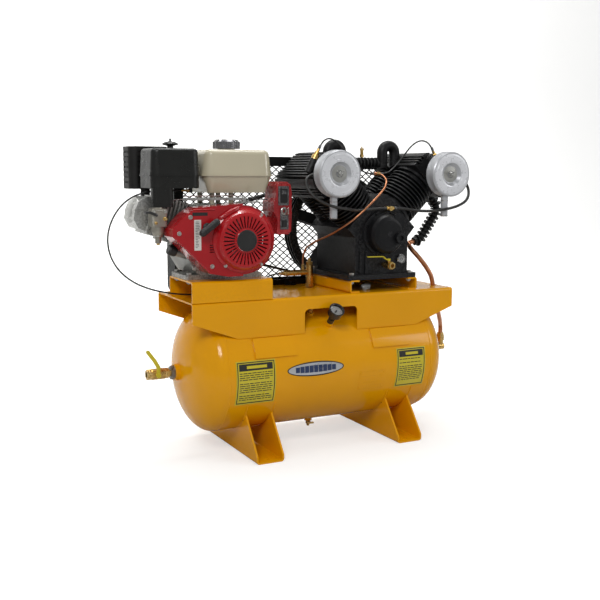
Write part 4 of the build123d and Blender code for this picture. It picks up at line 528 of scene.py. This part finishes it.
def oval_badge():
    """A plain oval badge: a dark rim round a pale field with a row of bars."""
    bm = bmesh.new()
    centre_x, centre_z = -0.077, 0.2775
    half_x, half_z = 0.103, 0.0235
    steps = 72

    def ring(scale_x, scale_z, lift):
        return [bm.verts.new(on_tank(centre_x + half_x * scale_x * cos(2 * pi * i / steps),
                                     centre_z + half_z * scale_z * sin(2 * pi * i / steps), lift))
                for i in range(steps)]

    base = ring(1.0, 1.0, 0.0001)
    rim_out = ring(1.0, 1.0, 0.0008)
    rim_in = ring(0.965, 0.84, 0.0008)
    sunk = ring(0.965, 0.84, 0.0004)
    join_rings(bm, base, rim_out, 0)
    join_rings(bm, rim_out, rim_in, 0)
    join_rings(bm, rim_in, sunk, 0)
    middle = ring(0.5, 0.42, 0.0004)
    heart = ring(0.02, 0.02, 0.0004)
    join_rings(bm, sunk, middle, 1)
    join_rings(bm, middle, heart, 1)
    bm.faces.new(heart).material_index = 1
    for x in range(-4, 5):
        centre = centre_x + x * 0.0165
        rise = 0.0115 * sqrt(1 - (x / 6) ** 2)
        low, high = (centre - 0.0072, centre_z - rise), (centre + 0.0072, centre_z + rise)
        add_tank_patch(bm, low, high, 0.0011, 2, 3)
    add_piece("OvalBadge", bm, [INK, LABEL_SILVER, BLUE_INK], smooth=False)


oval_badge()


def data_plate():
    """The embossed blank data plate, painted over with the shell."""
    bm = bmesh.new()
    add_tank_patch(bm, (0.088, 0.186), (0.186, 0.250), 0.0012, 0, 8)
    for x in (0.093, 0.181):
        for z in (0.191, 0.245):
            way = (on_tank(x, z, 1.0) - on_tank(x, z, 0)).normalized()
            rivet = [(0.0028, 0), (0.0026, 0.0010), (0.0014, 0.0017), (0, 0.0019)]
            add_lathe(bm, on_tank(x, z, 0.001), way, rivet, 14)
    for row in range(4):
        add_tank_patch(bm, (0.096, 0.199 + row * 0.011), (0.178, 0.2005 + row * 0.011), 0.0016, 0, 1)
    add_piece("DataPlate", bm, FINISHES["yellow_paint"])


data_plate()


def bead(bm, points, radius, seed=1):
    """A weld bead: a rippled half-round run along the points."""
    draw = random.Random(seed)
    fine = []
    for a, b in zip(points, points[1:]):
        a, b = Vector(a), Vector(b)
        count = max(1, int((b - a).length / 0.0035))
        fine += [a.lerp(b, i / count) for i in range(count)]
    fine.append(Vector(points[-1]))
    rings = []
    for index, point in enumerate(fine):
        way = (fine[min(index + 1, len(fine) - 1)] - fine[max(index - 1, 0)]).normalized()
        side = way.orthogonal().normalized()
        other = way.cross(side)
        size = radius * (1.0 + 0.10 * sin(index * 2.1) + draw.uniform(-0.06, 0.06))
        rings.append(add_ring(bm, point, side * size, other * size, 8))
    for low, high in zip(rings, rings[1:]):
        join_rings(bm, low, high)
    bm.faces.new(rings[0])
    bm.faces.new(rings[-1])


GIRTH_BEAD = [(-0.001, 0), (0.0008, 0.0014), (0.0012, 0.004), (0.0008, 0.0066), (-0.001, 0.008)]


def weld_beads():
    """The two girth seams of the shell and the seams along its feet."""
    bm = bmesh.new()
    girth = [(TANK_RADIUS + rise, along) for rise, along in GIRTH_BEAD]
    for x in (-TANK_HALF, TANK_HALF):
        add_lathe(bm, (x - 0.004, 0, TANK_Z), RIGHT, girth, 160)
    for x in (-0.308, -0.213, 0.213, 0.308):
        for first, last in ((206, 244), (296, 334)):
            arc = []
            for degree in range(first, last + 1, 2):
                turn = radians(degree)
                arc.append((x, TANK_RADIUS * cos(turn), TANK_Z + TANK_RADIUS * sin(turn)))
            bead(bm, arc, 0.0024, seed=first)
    add_piece("WeldBeads", bm, FINISHES["yellow_paint"])


weld_beads()


def gauge_face():
    """The gauge's dial with its scale, and the lens over it."""
    across = RIGHT
    rise = GAUGE_WAY.cross(across)
    centre = Vector((0, 0, TANK_Z)) + GAUGE_WAY * 0.2702
    bm = bmesh.new()
    disc = [(0, 0), (0.0218, 0), (0.0218, 0.0006), (0.0214, 0.0008), (0, 0.0008)]
    add_lathe(bm, centre, GAUGE_WAY, disc, 48)
    for index in range(31):
        turn = radians(225 - 270 * index / 30)
        long = index % 5 == 0
        inner, outer = (0.0150 if long else 0.0170), 0.0190
        half = 0.00045 if long else 0.00022
        way = across * cos(turn) + rise * sin(turn)
        side = across * -sin(turn) + rise * cos(turn)
        corners = []
        for level in (0.0008, 0.0010):
            for reach, hand in ((inner, -1), (outer, -1), (outer, 1), (inner, 1)):
                corners.append(bm.verts.new(centre + way * reach + side * half * hand + GAUGE_WAY * level))
        for quad in ((4, 5, 6, 7), (0, 1, 5, 4), (1, 2, 6, 5), (2, 3, 7, 6), (3, 0, 4, 7), (3, 2, 1, 0)):
            bm.faces.new([corners[i] for i in quad]).material_index = 1
    add_piece("GaugeDial", bm, [DIAL_WHITE, INK], smooth=False)
    lens = bmesh.new()
    face = Vector((0, 0, TANK_Z)) + GAUGE_WAY * 0.2795
    add_lathe(lens, face, GAUGE_WAY, [(0, 0), (0.0218, 0), (0.0218, 0.0014), (0.015, 0.0024), (0.007, 0.0029),
                                      (0, 0.0030)], 48)
    add_piece("GaugeLens", lens, GLASS)


gauge_face()


# Belt guard

GUARD_X = (-0.428, 0.440)
GUARD_Y = (0.150, 0.232)
GUARD_Z = (0.496, 0.960)
GUARD_SHEET = 0.0025
GUARD_LIP = 0.032


def rounded_path(low, high, radius, steps=6):
    """A rounded rectangle in X and Z, counter-clockwise from its lower right corner."""
    points = []
    for cx, cz, start in ((high[0] - radius, low[1] + radius, -90), (high[0] - radius, high[1] - radius, 0),
                          (low[0] + radius, high[1] - radius, 90), (low[0] + radius, low[1] + radius, 180)):
        for i in range(steps + 1):
            turn = radians(start + 90 * i / steps)
            points.append((cx + radius * cos(turn), cz + radius * sin(turn)))
    return points


def guard_frame():
    """The bent sheet round the drive: a band with a lip turned in at the front and the back."""
    bm = bmesh.new()
    low, high = (GUARD_X[0], GUARD_Z[0]), (GUARD_X[1], GUARD_Z[1])

    def loop(inset, radius, y):
        path = rounded_path((low[0] + inset, low[1] + inset), (high[0] - inset, high[1] - inset), radius)
        front_low = PLATFORM_TOP + 0.0042
        return [bm.verts.new((x, max(y, 0.1662) if z < front_low else y, z)) for x, z in path]

    front, back = GUARD_Y
    sheet = GUARD_SHEET
    loops = [loop(GUARD_LIP, 0.012, front + sheet), loop(GUARD_LIP, 0.012, front), loop(0.0012, 0.023, front),
             loop(0.0, 0.024, front + 0.0012), loop(0.0, 0.024, back - 0.0012), loop(0.0012, 0.023, back),
             loop(GUARD_LIP, 0.012, back), loop(GUARD_LIP, 0.012, back - sheet),
             loop(sheet, 0.0215, back - sheet), loop(sheet, 0.0215, front + sheet)]
    for a, b in zip(loops, loops[1:] + loops[:1]):
        join_rings(bm, a, b)
    tab_back = front + 0.003
    for x in (-0.330, 0.0, 0.400):
        low_x, high_x = x - 0.020, x + 0.020
        add_bar(bm, (low_x, front + 0.0002, PLATFORM_TOP), (high_x, tab_back, 0.530), bevel=0.0006)
        add_bar(bm, (low_x, front - 0.018, PLATFORM_TOP), (high_x, tab_back, 0.511), bevel=0.0006)
        add_bolt(bm, (x, front - 0.009, 0.511), UP, 0.010)
    for x in (-0.395, -0.10, 0.12, 0.405):
        for z in (0.520, 0.936):
            add_bolt(bm, (x, GUARD_Y[1], z), BACK, 0.008)
    frame_piece = add_piece("GuardFrame", bm, FINISHES["guard_black"])
    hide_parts("belt_guard")


def guard_mesh():
    """Expanded metal: rows of zigzag strands that touch at every peak."""
    bm = bmesh.new()
    pitch_x, pitch_z = 0.030, 0.0125
    strand, depth = 0.0023, 0.0009
    y = GUARD_Y[1] - 2 * GUARD_SHEET - 0.0008
    x_low, x_high = GUARD_X[0] + 0.006, GUARD_X[1] - 0.006
    z_low, z_high = GUARD_Z[0] + 0.008, GUARD_Z[1] - 0.008
    rows = int((z_high - z_low) / pitch_z)
    columns = int((x_high - x_low) / (pitch_x / 2))
    for row in range(rows):
        middle = z_low + pitch_z * (row + 0.5)
        rings = []
        for column in range(columns + 1):
            x = x_low + column * pitch_x / 2
            hand = 1 if (column + row) % 2 else -1
            z = middle + hand * (pitch_z / 2 - strand * 0.4)
            tilt = 0.0012 * hand
            near, far = y - depth + tilt, y + depth + tilt
            corners = ((near, z - strand), (far, z - strand), (far, z + strand), (near, z + strand))
            rings.append([bm.verts.new((x, *corner)) for corner in corners])
        for a, b in zip(rings, rings[1:]):
            join_rings(bm, a, b)
        bm.faces.new(rings[0])
        bm.faces.new(rings[-1])
    mesh_piece = add_piece("GuardMesh", bm, FINISHES["guard_black"], smooth=False)
    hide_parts("belt_guard")


guard_frame()
guard_mesh()


# Pump details

def bank_point(side, radial, lateral, y):
    """A point along a pump bank and outboard of its axis."""
    x = PUMP.x + side * ROOT_HALF * (radial + lateral)
    return Vector((x, y, PUMP.z + ROOT_HALF * (radial - lateral)))


def bank_way(side):
    return Vector((side * ROOT_HALF, 0, ROOT_HALF))


def pump_bolts():
    """Bolts on the front cover, the barrels' feet, the heads and the crankcase."""
    bm = bmesh.new()
    for index in range(8):
        turn = radians(22.5 + 45 * index)
        start = Vector((PUMP.x + 0.0712 * cos(turn), COVER_FRONT - 0.0105, PUMP.z + 0.0712 * sin(turn)))
        add_bolt(bm, start, FRONT, 0.0085, turn=turn)
    for side in (-1, 1):
        for y, reach in ((-0.068, 0.067), (0.078, 0.051)):
            for index in range(6):
                turn = radians(30 + 60 * index)
                start = bank_point(side, 0.114, reach * cos(turn), y + reach * sin(turn))
                add_bolt(bm, start, bank_way(side), 0.009, turn=turn)
        for y in (-0.136, -0.010, 0.020, 0.128):
            for hand in (-1, 1):
                start = bank_point(side, 0.325, hand * 0.006, y)
                add_bolt(bm, start - bank_way(side) * 0.014, bank_way(side), 0.010)
    for x in (0.118, 0.297):
        for z in (0.580, 0.676):
            if (x, z) != (0.297, 0.580):
                add_bolt(bm, (x, COVER_FRONT, z), FRONT, 0.009)
    add_piece("PumpBolts", bm, FINISHES["pump_black"])


pump_bolts()


FILTER_FACE = -0.229
FILTER_BACK = -0.185
FILTER_RIB = [(-0.0012, 0), (-0.0006, 0.0006), (0.0006, 0.0006), (0.0012, 0)]


def filter_details():
    """The bright front of each canister, its grey dish, the wing nut and the seam round the rim."""
    for side, name in ((-1, "Left"), (1, "Right")):
        centre = Vector((PUMP.x + side * 0.2145, 0, 0.902))
        face = FILTER_FACE
        bm = bmesh.new()
        add_lathe(bm, centre + Vector((0, face, 0)), FRONT,
                  [(0.0375, -0.0006), (0.0390, 0.0004), (0.0420, 0.0007), (0.0640, 0.0007), (0.0680, 0.0002),
                   (0.0690, -0.0006)], 72, 0)
        for radius in (0.0445, 0.0600):
            rib = [(radius + across, rise) for across, rise in FILTER_RIB]
            add_lathe(bm, centre + Vector((0, face - 0.0006, 0)), FRONT, rib, 72)
        add_lathe(bm, centre + Vector((0, face + 0.0098, 0)), FRONT,
                  [(0.0300, -0.0006), (0.0290, 0.0004), (0.0120, 0.0016), (0.0100, -0.0006)], 60, 1)
        add_piece(f"FilterFace{name}", bm, [BRIGHT_SILVER, DISH_GREY])
        nut = bmesh.new()
        start = centre + Vector((0, face + 0.0062, 0))
        add_lathe(nut, start, FRONT, [(0.0085, 0), (0.0085, 0.0014), (0.0062, 0.0018), (0.0052, 0.0072),
                                      (0.0034, 0.0082), (0.0032, 0.0108), (0, 0.0112)], 24)
        for hand in (-1, 1):
            tilt = Vector((hand * 0.82, 0, 0.57))
            bends = ((0.008, 0.0052), (0.0145, 0.0062), (0.017, 0.0062))
            ear = [start + tilt * reach + FRONT * out for reach, out in bends]
            add_tube(nut, [start + Vector((hand * 0.004, -0.004, 0)), *ear], 0.0021, 10)
        add_piece(f"FilterNut{name}", nut, FINISHES["ring_steel"])
        seams = bmesh.new()
        seam = [(0.0746, 0), (0.0757, 0.0008), (0.0759, 0.0018), (0.0757, 0.0028), (0.0746, 0.0036)]
        for y in (FILTER_BACK - 0.0135, FILTER_BACK - 0.0045):
            add_lathe(seams, centre + Vector((0, y, 0)), FRONT, seam, 96)
        add_piece(f"FilterSeam{name}", seams, FINISHES["filter_silver"])
        pipe = bmesh.new()
        drop = centre + Vector((-0.013, -0.207, 0.760 - 0.902))
        ring = [(0.0118, 0), (0.0128, 0.0008), (0.0128, 0.0026), (0.0118, 0.0034)]
        for level in (0.0006, 0.052):
            add_lathe(pipe, drop + UP * level, UP, ring, 32)
        add_piece(f"IntakeTubeRings{name}", pipe, FINISHES["ring_steel"])


filter_details()


def hose_clips():
    """The crimped ferrules at the ends of the thin hoses and the clips of the breather hoses."""
    bm = bmesh.new()
    clip = [(0.0047, 0), (0.0060, 0.0006), (0.0062, 0.004), (0.0060, 0.0072), (0.0047, 0.0078)]
    ferrule = [(0.0026, 0), (0.0044, 0.0003), (0.0044, 0.0115), (0.0034, 0.0135), (0.0026, 0.014)]
    for points, outline, gap, steps in ((BREATHER_LEFT, clip, 0.003, 24), (BREATHER_RIGHT, clip, 0.003, 24),
                                        (UNLOADER_RIGHT, ferrule, 0, 20),
                                        (across_pump(UNLOADER_RIGHT), ferrule, 0, 20)):
        for end, inner in ((0, 1), (-1, -2)):
            start = Vector(points[end])
            way = (Vector(points[inner]) - start).normalized()
            add_lathe(bm, start + way * gap, way, outline, steps)
    add_piece("HoseClips", bm, FINISHES["lever_black"])


hose_clips()


def sight_window():
    """The oil sight glass: its clear window over a white disc with a ring mark."""
    centre = Vector((0.284, COVER_FRONT - 0.0062, 0.614))
    bm = bmesh.new()
    add_lathe(bm, centre, FRONT, [(0, 0), (0.0105, 0), (0.0105, 0.0006), (0, 0.0008)], 32, 0)
    mark = [(0.0030, 0), (0.0032, 0.0004), (0.0044, 0.0004), (0.0046, 0)]
    add_lathe(bm, centre + FRONT * 0.0007, FRONT, mark, 32, 1)
    add_piece("SightDisc", bm, [DIAL_WHITE, INK])
    lens = bmesh.new()
    window = [(0, 0), (0.0108, 0), (0.0108, 0.0010), (0.006, 0.0016), (0, 0.0018)]
    add_lathe(lens, centre + FRONT * 0.0014, FRONT, window, 32)
    add_piece("SightLens", lens, GLASS)


sight_window()


# Engine details

def starter_disc():
    """The black disc in the middle of the starter cover, with a thin raised ring."""
    bm = bmesh.new()
    start = Vector((ENGINE.x, -0.2100, ENGINE.z))
    add_lathe(bm, start, FRONT, [(0, 0), (0.0330, 0), (0.0330, 0.0008), (0.0315, 0.0018), (0.0285, 0.0020),
                                 (0.0280, 0.0012), (0.0150, 0.0014), (0, 0.0018)], 64)
    add_piece("StarterDisc", bm, BLACK)
    ring = bmesh.new()
    rim = [(0.0330, 0), (0.0334, 0.0020), (0.0344, 0.0024), (0.0354, 0.0016), (0.0356, 0)]
    add_lathe(ring, start + BACK * 0.0012, FRONT, rim, 64)
    add_piece("StarterDiscRim", ring, FINISHES["recoil_red"])
    bolts = bmesh.new()
    for degree in (52, 128, 232, 308):
        turn = radians(degree)
        foot = Vector((ENGINE.x + 0.0965 * cos(turn), SHROUD_FRONT - 0.003, ENGINE.z + 0.0965 * sin(turn)))
        add_bolt(bolts, foot, FRONT, 0.0075)
    for x, z in ((-0.528, 0.724), (-0.492, 0.772), (-0.424, 0.622)):
        add_bolt(bolts, (x, SHROUD_FRONT, z), FRONT, 0.008)
    add_piece("ShroudBolts", bolts, STEEL)


starter_disc()


def shroud_trim():
    """A pale plate and a black name bar without words on the shroud, and the cord's raised channel."""
    bm = bmesh.new()
    y = SHROUD_FRONT
    add_bar(bm, (-0.481, y - 0.0007, 0.672), (-0.459, y + 0.0002, 0.764), 0, 0.0002)
    draw = random.Random(5)
    z = 0.757
    while z > 0.680:
        add_bar(bm, (-0.477, y - 0.0010, z), (-0.477 + draw.uniform(0.006, 0.014), y - 0.0004, z + 0.0016), 1)
        z -= 0.0048
    add_bar(bm, (-0.486, y - 0.0008, 0.776), (-0.438, y + 0.0002, 0.786), 1, 0.0002)
    add_piece("ShroudPlates", bm, [LABEL_WHITE, INK], smooth=False)
    ridge = bmesh.new()
    add_tube(ridge, [(-0.485, y, 0.793), (-0.480, y - 0.0006, 0.7935), (-0.420, y - 0.0006, 0.794),
                     (-0.414, y, 0.794)], 0.0022)
    add_tube(ridge, [(-0.398, y + 0.001, 0.767), (-0.390, y - 0.004, 0.772), (-0.362, y - 0.006, 0.788),
                     (-0.346, y - 0.004, 0.794), (-0.338, y + 0.001, 0.796)], 0.0080, 16)
    add_tube(ridge, [(-0.545, y + 0.0005, 0.714), (-0.540, y - 0.0005, 0.708), (-0.436, y - 0.0005, 0.606),
                     (-0.430, y + 0.0005, 0.600)], 0.0020)
    add_piece("ShroudRidges", ridge, RED)


shroud_trim()


def grip_details():
    """The collar that the starter cord leaves through, and ribs on the grip."""
    grip = Vector((-0.440, -0.203, 0.741))
    along = Vector((0.81, 0, 0.58)).normalized()
    bm = bmesh.new()
    for index in range(-3, 4):
        if index == 0:
            continue
        add_lathe(bm, grip + along * (index * 0.0085 - 0.0012), along,
                  [(0.0108, 0), (0.0117, 0.0006), (0.0117, 0.0018), (0.0108, 0.0024)], 28)
    add_piece("GripRibs", bm, BLACK, body="recoil_grip")
    collar = bmesh.new()
    start = Vector((grip.x, SHROUD_FRONT, grip.z))
    add_lathe(collar, start, FRONT, [(0.0075, 0), (0.0135, 0), (0.0135, 0.0020), (0.0110, 0.0050),
                                     (0.0088, 0.0060), (0.0075, 0.0055)], 32)
    add_piece("GripCollar", collar, BLACK)


grip_details()


def control_panel():
    """The grey panel of the start box with its bezel, a rocker and the ring round the lock."""
    low_x, high_x = -0.172, -0.108
    y = -0.084
    middle = (low_x + high_x) / 2
    bm = bmesh.new()
    add_bar(bm, (middle - 0.017, y - 0.0030, 0.800), (middle + 0.021, y + 0.0004, 0.862), 0, 0.0012)
    add_bar(bm, (middle - 0.010, y - 0.0030, 0.722), (middle + 0.020, y + 0.0004, 0.792), 0, 0.0012)
    add_bar(bm, (middle - 0.006, y - 0.0075, 0.730), (middle + 0.012, y - 0.0028, 0.752), 1, 0.0014)
    add_bar(bm, (middle - 0.011, y - 0.0044, 0.808), (middle + 0.015, y - 0.0028, 0.854), 1, 0.0008)
    add_bar(bm, (middle - 0.006, y - 0.0052, 0.836), (middle + 0.010, y - 0.0042, 0.848), 0, 0.0004)
    add_piece("StartPanel", bm, [PANEL_GREY, BLACK])
    lock = bmesh.new()
    centre = Vector((-0.138, y - 0.0060, 0.782))
    add_lathe(lock, centre, FRONT, [(0.0095, 0), (0.0125, 0.0002), (0.0125, 0.0016), (0.0110, 0.0026),
                                    (0.0060, 0.0026), (0.0055, 0.0006)], 36)
    add_piece("LockRing", lock, FINISHES["ring_steel"])
    bezel = bmesh.new()
    path = [(low_x + 0.012, 0.712), (high_x - 0.004, 0.714), (high_x - 0.003, 0.766), (high_x - 0.003, 0.840),
            (high_x - 0.008, 0.866), (middle + 0.012, 0.872), (middle - 0.014, 0.872), (low_x + 0.013, 0.860),
            (low_x + 0.012, 0.824), (low_x + 0.004, 0.808), (low_x + 0.004, 0.782), (low_x + 0.016, 0.760),
            (low_x + 0.012, 0.712)]
    add_tube(bezel, [(x, y + 0.0004, z) for x, z in path], 0.0018, 8)
    add_piece("StartBezel", bezel, FINISHES["box_red"])


control_panel()


def linkage():
    """Governor rods, their spring and small bolts on top of the engine."""
    bm = bmesh.new()
    add_tube(bm, [(-0.496, -0.127, 0.832), (-0.470, -0.128, 0.834), (-0.330, -0.126, 0.834),
                  (-0.292, -0.120, 0.830)], 0.0013, 8)
    add_tube(bm, helix((-0.452, -0.112, 0.826), (-0.372, -0.108, 0.828), 0.0030, 16), 0.0006, 6)
    add_tube(bm, [(-0.520, -0.108, 0.822), (-0.490, -0.112, 0.824), (-0.452, -0.112, 0.826)], 0.0009, 8)
    add_tube(bm, [(-0.372, -0.108, 0.828), (-0.340, -0.104, 0.826), (-0.300, -0.100, 0.822)], 0.0009, 8)
    for x in (-0.486, -0.410, -0.352, -0.300):
        add_bolt(bm, (x, -0.125, 0.824), FRONT, 0.006)
    for x, y in ((-0.292, -0.086), (-0.244, -0.112), (-0.276, -0.112)):
        add_bolt(bm, (x, y, 0.814), UP, 0.007)
    add_piece("GovernorLinkage", bm, FINISHES["ring_steel"])


linkage()


def carburettor_details():
    """Brass jets, screws and a return spring on the carburettor."""
    bm = bmesh.new()
    add_hex(bm, (-0.569, -0.105, 0.6925), (0, 0, -1), 0.010, 0.006, 0)
    jet = [(0.0062, 0), (0.0062, 0.004), (0.0042, 0.006), (0.0042, 0.012), (0, 0.012)]
    add_lathe(bm, (-0.554, -0.126, 0.766), FRONT, jet, 20)
    screw = [(0.0045, 0), (0.0045, 0.003), (0.0030, 0.004), (0, 0.004)]
    add_lathe(bm, (-0.582, -0.126, 0.754), FRONT, screw, 20)
    for x in (-0.587, -0.551):
        add_bolt(bm, (x, -0.084, 0.792), UP, 0.006, 1)
        add_bolt(bm, (x, -0.126, 0.787), FRONT, 0.006, 1)
    add_tube(bm, helix((-0.582, -0.1262, 0.790), (-0.554, -0.1262, 0.790), 0.0024, 9), 0.0005, 6, 1)
    band = [(0.0142, 0), (0.0150, 0.001), (0.0150, 0.003), (0.0142, 0.004)]
    add_lathe(bm, (-0.569, -0.105, 0.7155), (0, 0, -1), band, 28, 1)
    add_piece("CarburettorFittings", bm, [FINISHES["brass"], STEEL])


carburettor_details()


def engine_hardware():
    """Bolts round the crankcase, the drain plug, the rocker cover's bolts and the plug's boot."""
    bm = bmesh.new()
    for x, z in ((-0.462, 0.660), (-0.452, 0.610), (-0.400, 0.594), (-0.300, 0.594)):
        add_bolt(bm, (x, -0.100, z), FRONT, 0.009)
    for x, z in ((-0.420, 0.600), (-0.300, 0.600), (-0.240, 0.650), (-0.240, 0.750), (-0.300, 0.790),
                 (-0.400, 0.770)):
        add_bolt(bm, (x, 0.085, z), BACK, 0.009)
    add_bolt(bm, (-0.472, 0.030, 0.652), LEFT, 0.012)
    tilt = radians(17)
    along = Vector((-cos(tilt), 0, sin(tilt)))
    across = Vector((sin(tilt), 0, cos(tilt)))
    for y, reach in ((-0.058, 0.046), (-0.058, -0.046), (0.040, 0.046), (0.040, -0.046)):
        start = ENGINE + along * 0.267 + across * reach + Vector((0, y, 0))
        add_bolt(bm, start, along, 0.0085)
    add_piece("EngineBolts", bm, STEEL)
    boot = bmesh.new()
    foot = ENGINE + along * 0.236 + across * -0.030 + Vector((0, -0.070, 0))
    way = (along * 0.25 + FRONT * 0.9 + across * -0.25).normalized()
    add_lathe(boot, foot, way, [(0.0070, 0), (0.0085, 0.002), (0.0080, 0.014), (0.0068, 0.017),
                                (0.0068, 0.026), (0.0050, 0.030), (0, 0.031)], 24)
    add_piece("PlugBoot", boot, BLACK)
    dome = bmesh.new()
    for reach, level in ((0.040, 0.3135), (0.024, 0.3180)):
        start = ENGINE + along * level + Vector((0, -0.009, 0))
        crown = [(reach + 0.002, 0), (reach + 0.001, 0.003), (reach - 0.004, 0.0045), (0, 0.005)]
        add_lathe(dome, start - along * 0.004, along, crown, 48)
    add_piece("RockerDome", dome, WORN_ALLOY)


engine_hardware()


def cable_fittings():
    """The brass end of the cable at the pilot cylinder and the adjuster at the filter's bracket."""
    bm = bmesh.new()
    nipple = [(0.0026, 0), (0.0070, 0), (0.0070, 0.006), (0.0046, 0.0075), (0.0046, 0.020), (0.0026, 0.022)]
    adjuster = [(0.0026, 0), (0.0052, 0.0002), (0.0052, 0.010), (0.0038, 0.011), (0.0038, 0.024),
                (0.0026, 0.026)]
    add_lathe(bm, THROTTLE_CABLE[-1], LEFT, nipple, 24)
    add_lathe(bm, THROTTLE_CABLE[0], LEFT, adjuster, 24)
    add_piece("CableEnds", bm, FINISHES["brass"])


cable_fittings()


def tube_nuts():
    """Flare nuts at the ends of the copper tubes."""
    bm = bmesh.new()
    add_hex(bm, (0.556, 0, 0.3075), UP, 0.0235, 0.009)
    add_hex(bm, (0.006, 0.057, 0.5785), UP, 0.0098, 0.011)
    add_hex(bm, (0.2075, -0.1035, 0.903), FRONT, 0.0105, 0.012)
    ridge = [(0.0135, 0), (0.0158, 0.0006), (0.0158, 0.0016), (0.0135, 0.0022)]
    for row in range(5):
        add_lathe(bm, (0.556, 0, 0.2885 + row * 0.003), UP, ridge, 6)
    add_piece("TubeNuts", bm, FINISHES["brass"])


tube_nuts()


# Floor and light

def glow_for_camera(tree, strength, others, seen):
    """A strength that is higher where it is seen directly than where it lights the object."""
    path = tree.nodes.new("ShaderNodeLightPath")
    span = tree.nodes.new("ShaderNodeMapRange")
    span.inputs["To Min"].default_value = others
    span.inputs["To Max"].default_value = seen
    tree.links.new(path.outputs["Is Camera Ray"], span.inputs["Value"])
    tree.links.new(span.outputs["Result"], strength)


def stage_floor():
    """A pale seamless floor that curves up into a backdrop."""
    bm = bmesh.new()
    rows = [(-6.0, 0.0), (3.0, 0.0)]
    for degree in range(0, 91, 10):
        turn = radians(degree)
        rows.append((3.0 + 2.0 * sin(turn), 2.0 - 2.0 * cos(turn)))
    rows.append((5.0, 7.0))
    grid = [[bm.verts.new((x, y, z)) for x in (-9.0, 9.0)] for y, z in rows]
    for a, b in zip(grid, grid[1:]):
        bm.faces.new((a[0], a[1], b[1], b[0]))
    mesh = bpy.data.meshes.new("StudioFloor")
    bm.to_mesh(mesh)
    bm.free()
    mesh.shade_smooth()
    floor = bpy.data.objects.new("StudioFloor", mesh)
    bpy.context.scene.collection.objects.link(floor)
    paper = surface("studio_paper", (0.55, 0.55, 0.54), 0.7, vary=0.01, patch=1.0, specular=0.05)
    shader = paper.node_tree.nodes["Principled BSDF"]
    glow_for_camera(paper.node_tree, shader.inputs["Emission Strength"], 0.0, 0.55)
    shader.inputs["Emission Color"].default_value = (1, 1, 1, 1)
    mesh.materials.append(paper)


def soft_light(name, place, target, size, power, colour=(1, 1, 1)):
    data = bpy.data.lights.new(name, "AREA")
    data.shape = "RECTANGLE"
    data.size, data.size_y = size
    data.energy = power
    data.color = colour
    lamp = bpy.data.objects.new(name, data)
    bpy.context.scene.collection.objects.link(lamp)
    turn = (Vector(target) - Vector(place)).to_track_quat("-Z", "Y").to_matrix().to_4x4()
    lamp.matrix_world = Matrix.Translation(place) @ turn


def studio_light():
    world = bpy.data.worlds.new("Studio")
    world.use_nodes = True
    world.node_tree.nodes["Background"].inputs["Color"].default_value = (1, 1, 1, 1)
    glow_for_camera(world.node_tree, world.node_tree.nodes["Background"].inputs["Strength"], 0.34, 1.0)
    bpy.context.scene.world = world
    soft_light("KeyLight", (-2.6, -3.2, 3.4), (0, 0, 0.6), (1.4, 1.4), 86)
    soft_light("FillLight", (3.4, -3.0, 2.2), (0.1, 0, 0.6), (1.6, 1.6), 34)
    soft_light("TopLight", (0.2, 0.2, 4.2), (0, 0, 0.6), (2.6, 1.4), 52)
    soft_light("BackdropLight", (0, 1.2, 4.4), (0, 5.0, 2.0), (6.0, 1.0), 380)
    bpy.context.scene.view_settings.view_transform = "Standard"
    bpy.context.scene.view_settings.look = "None"


stage_floor()
studio_light()
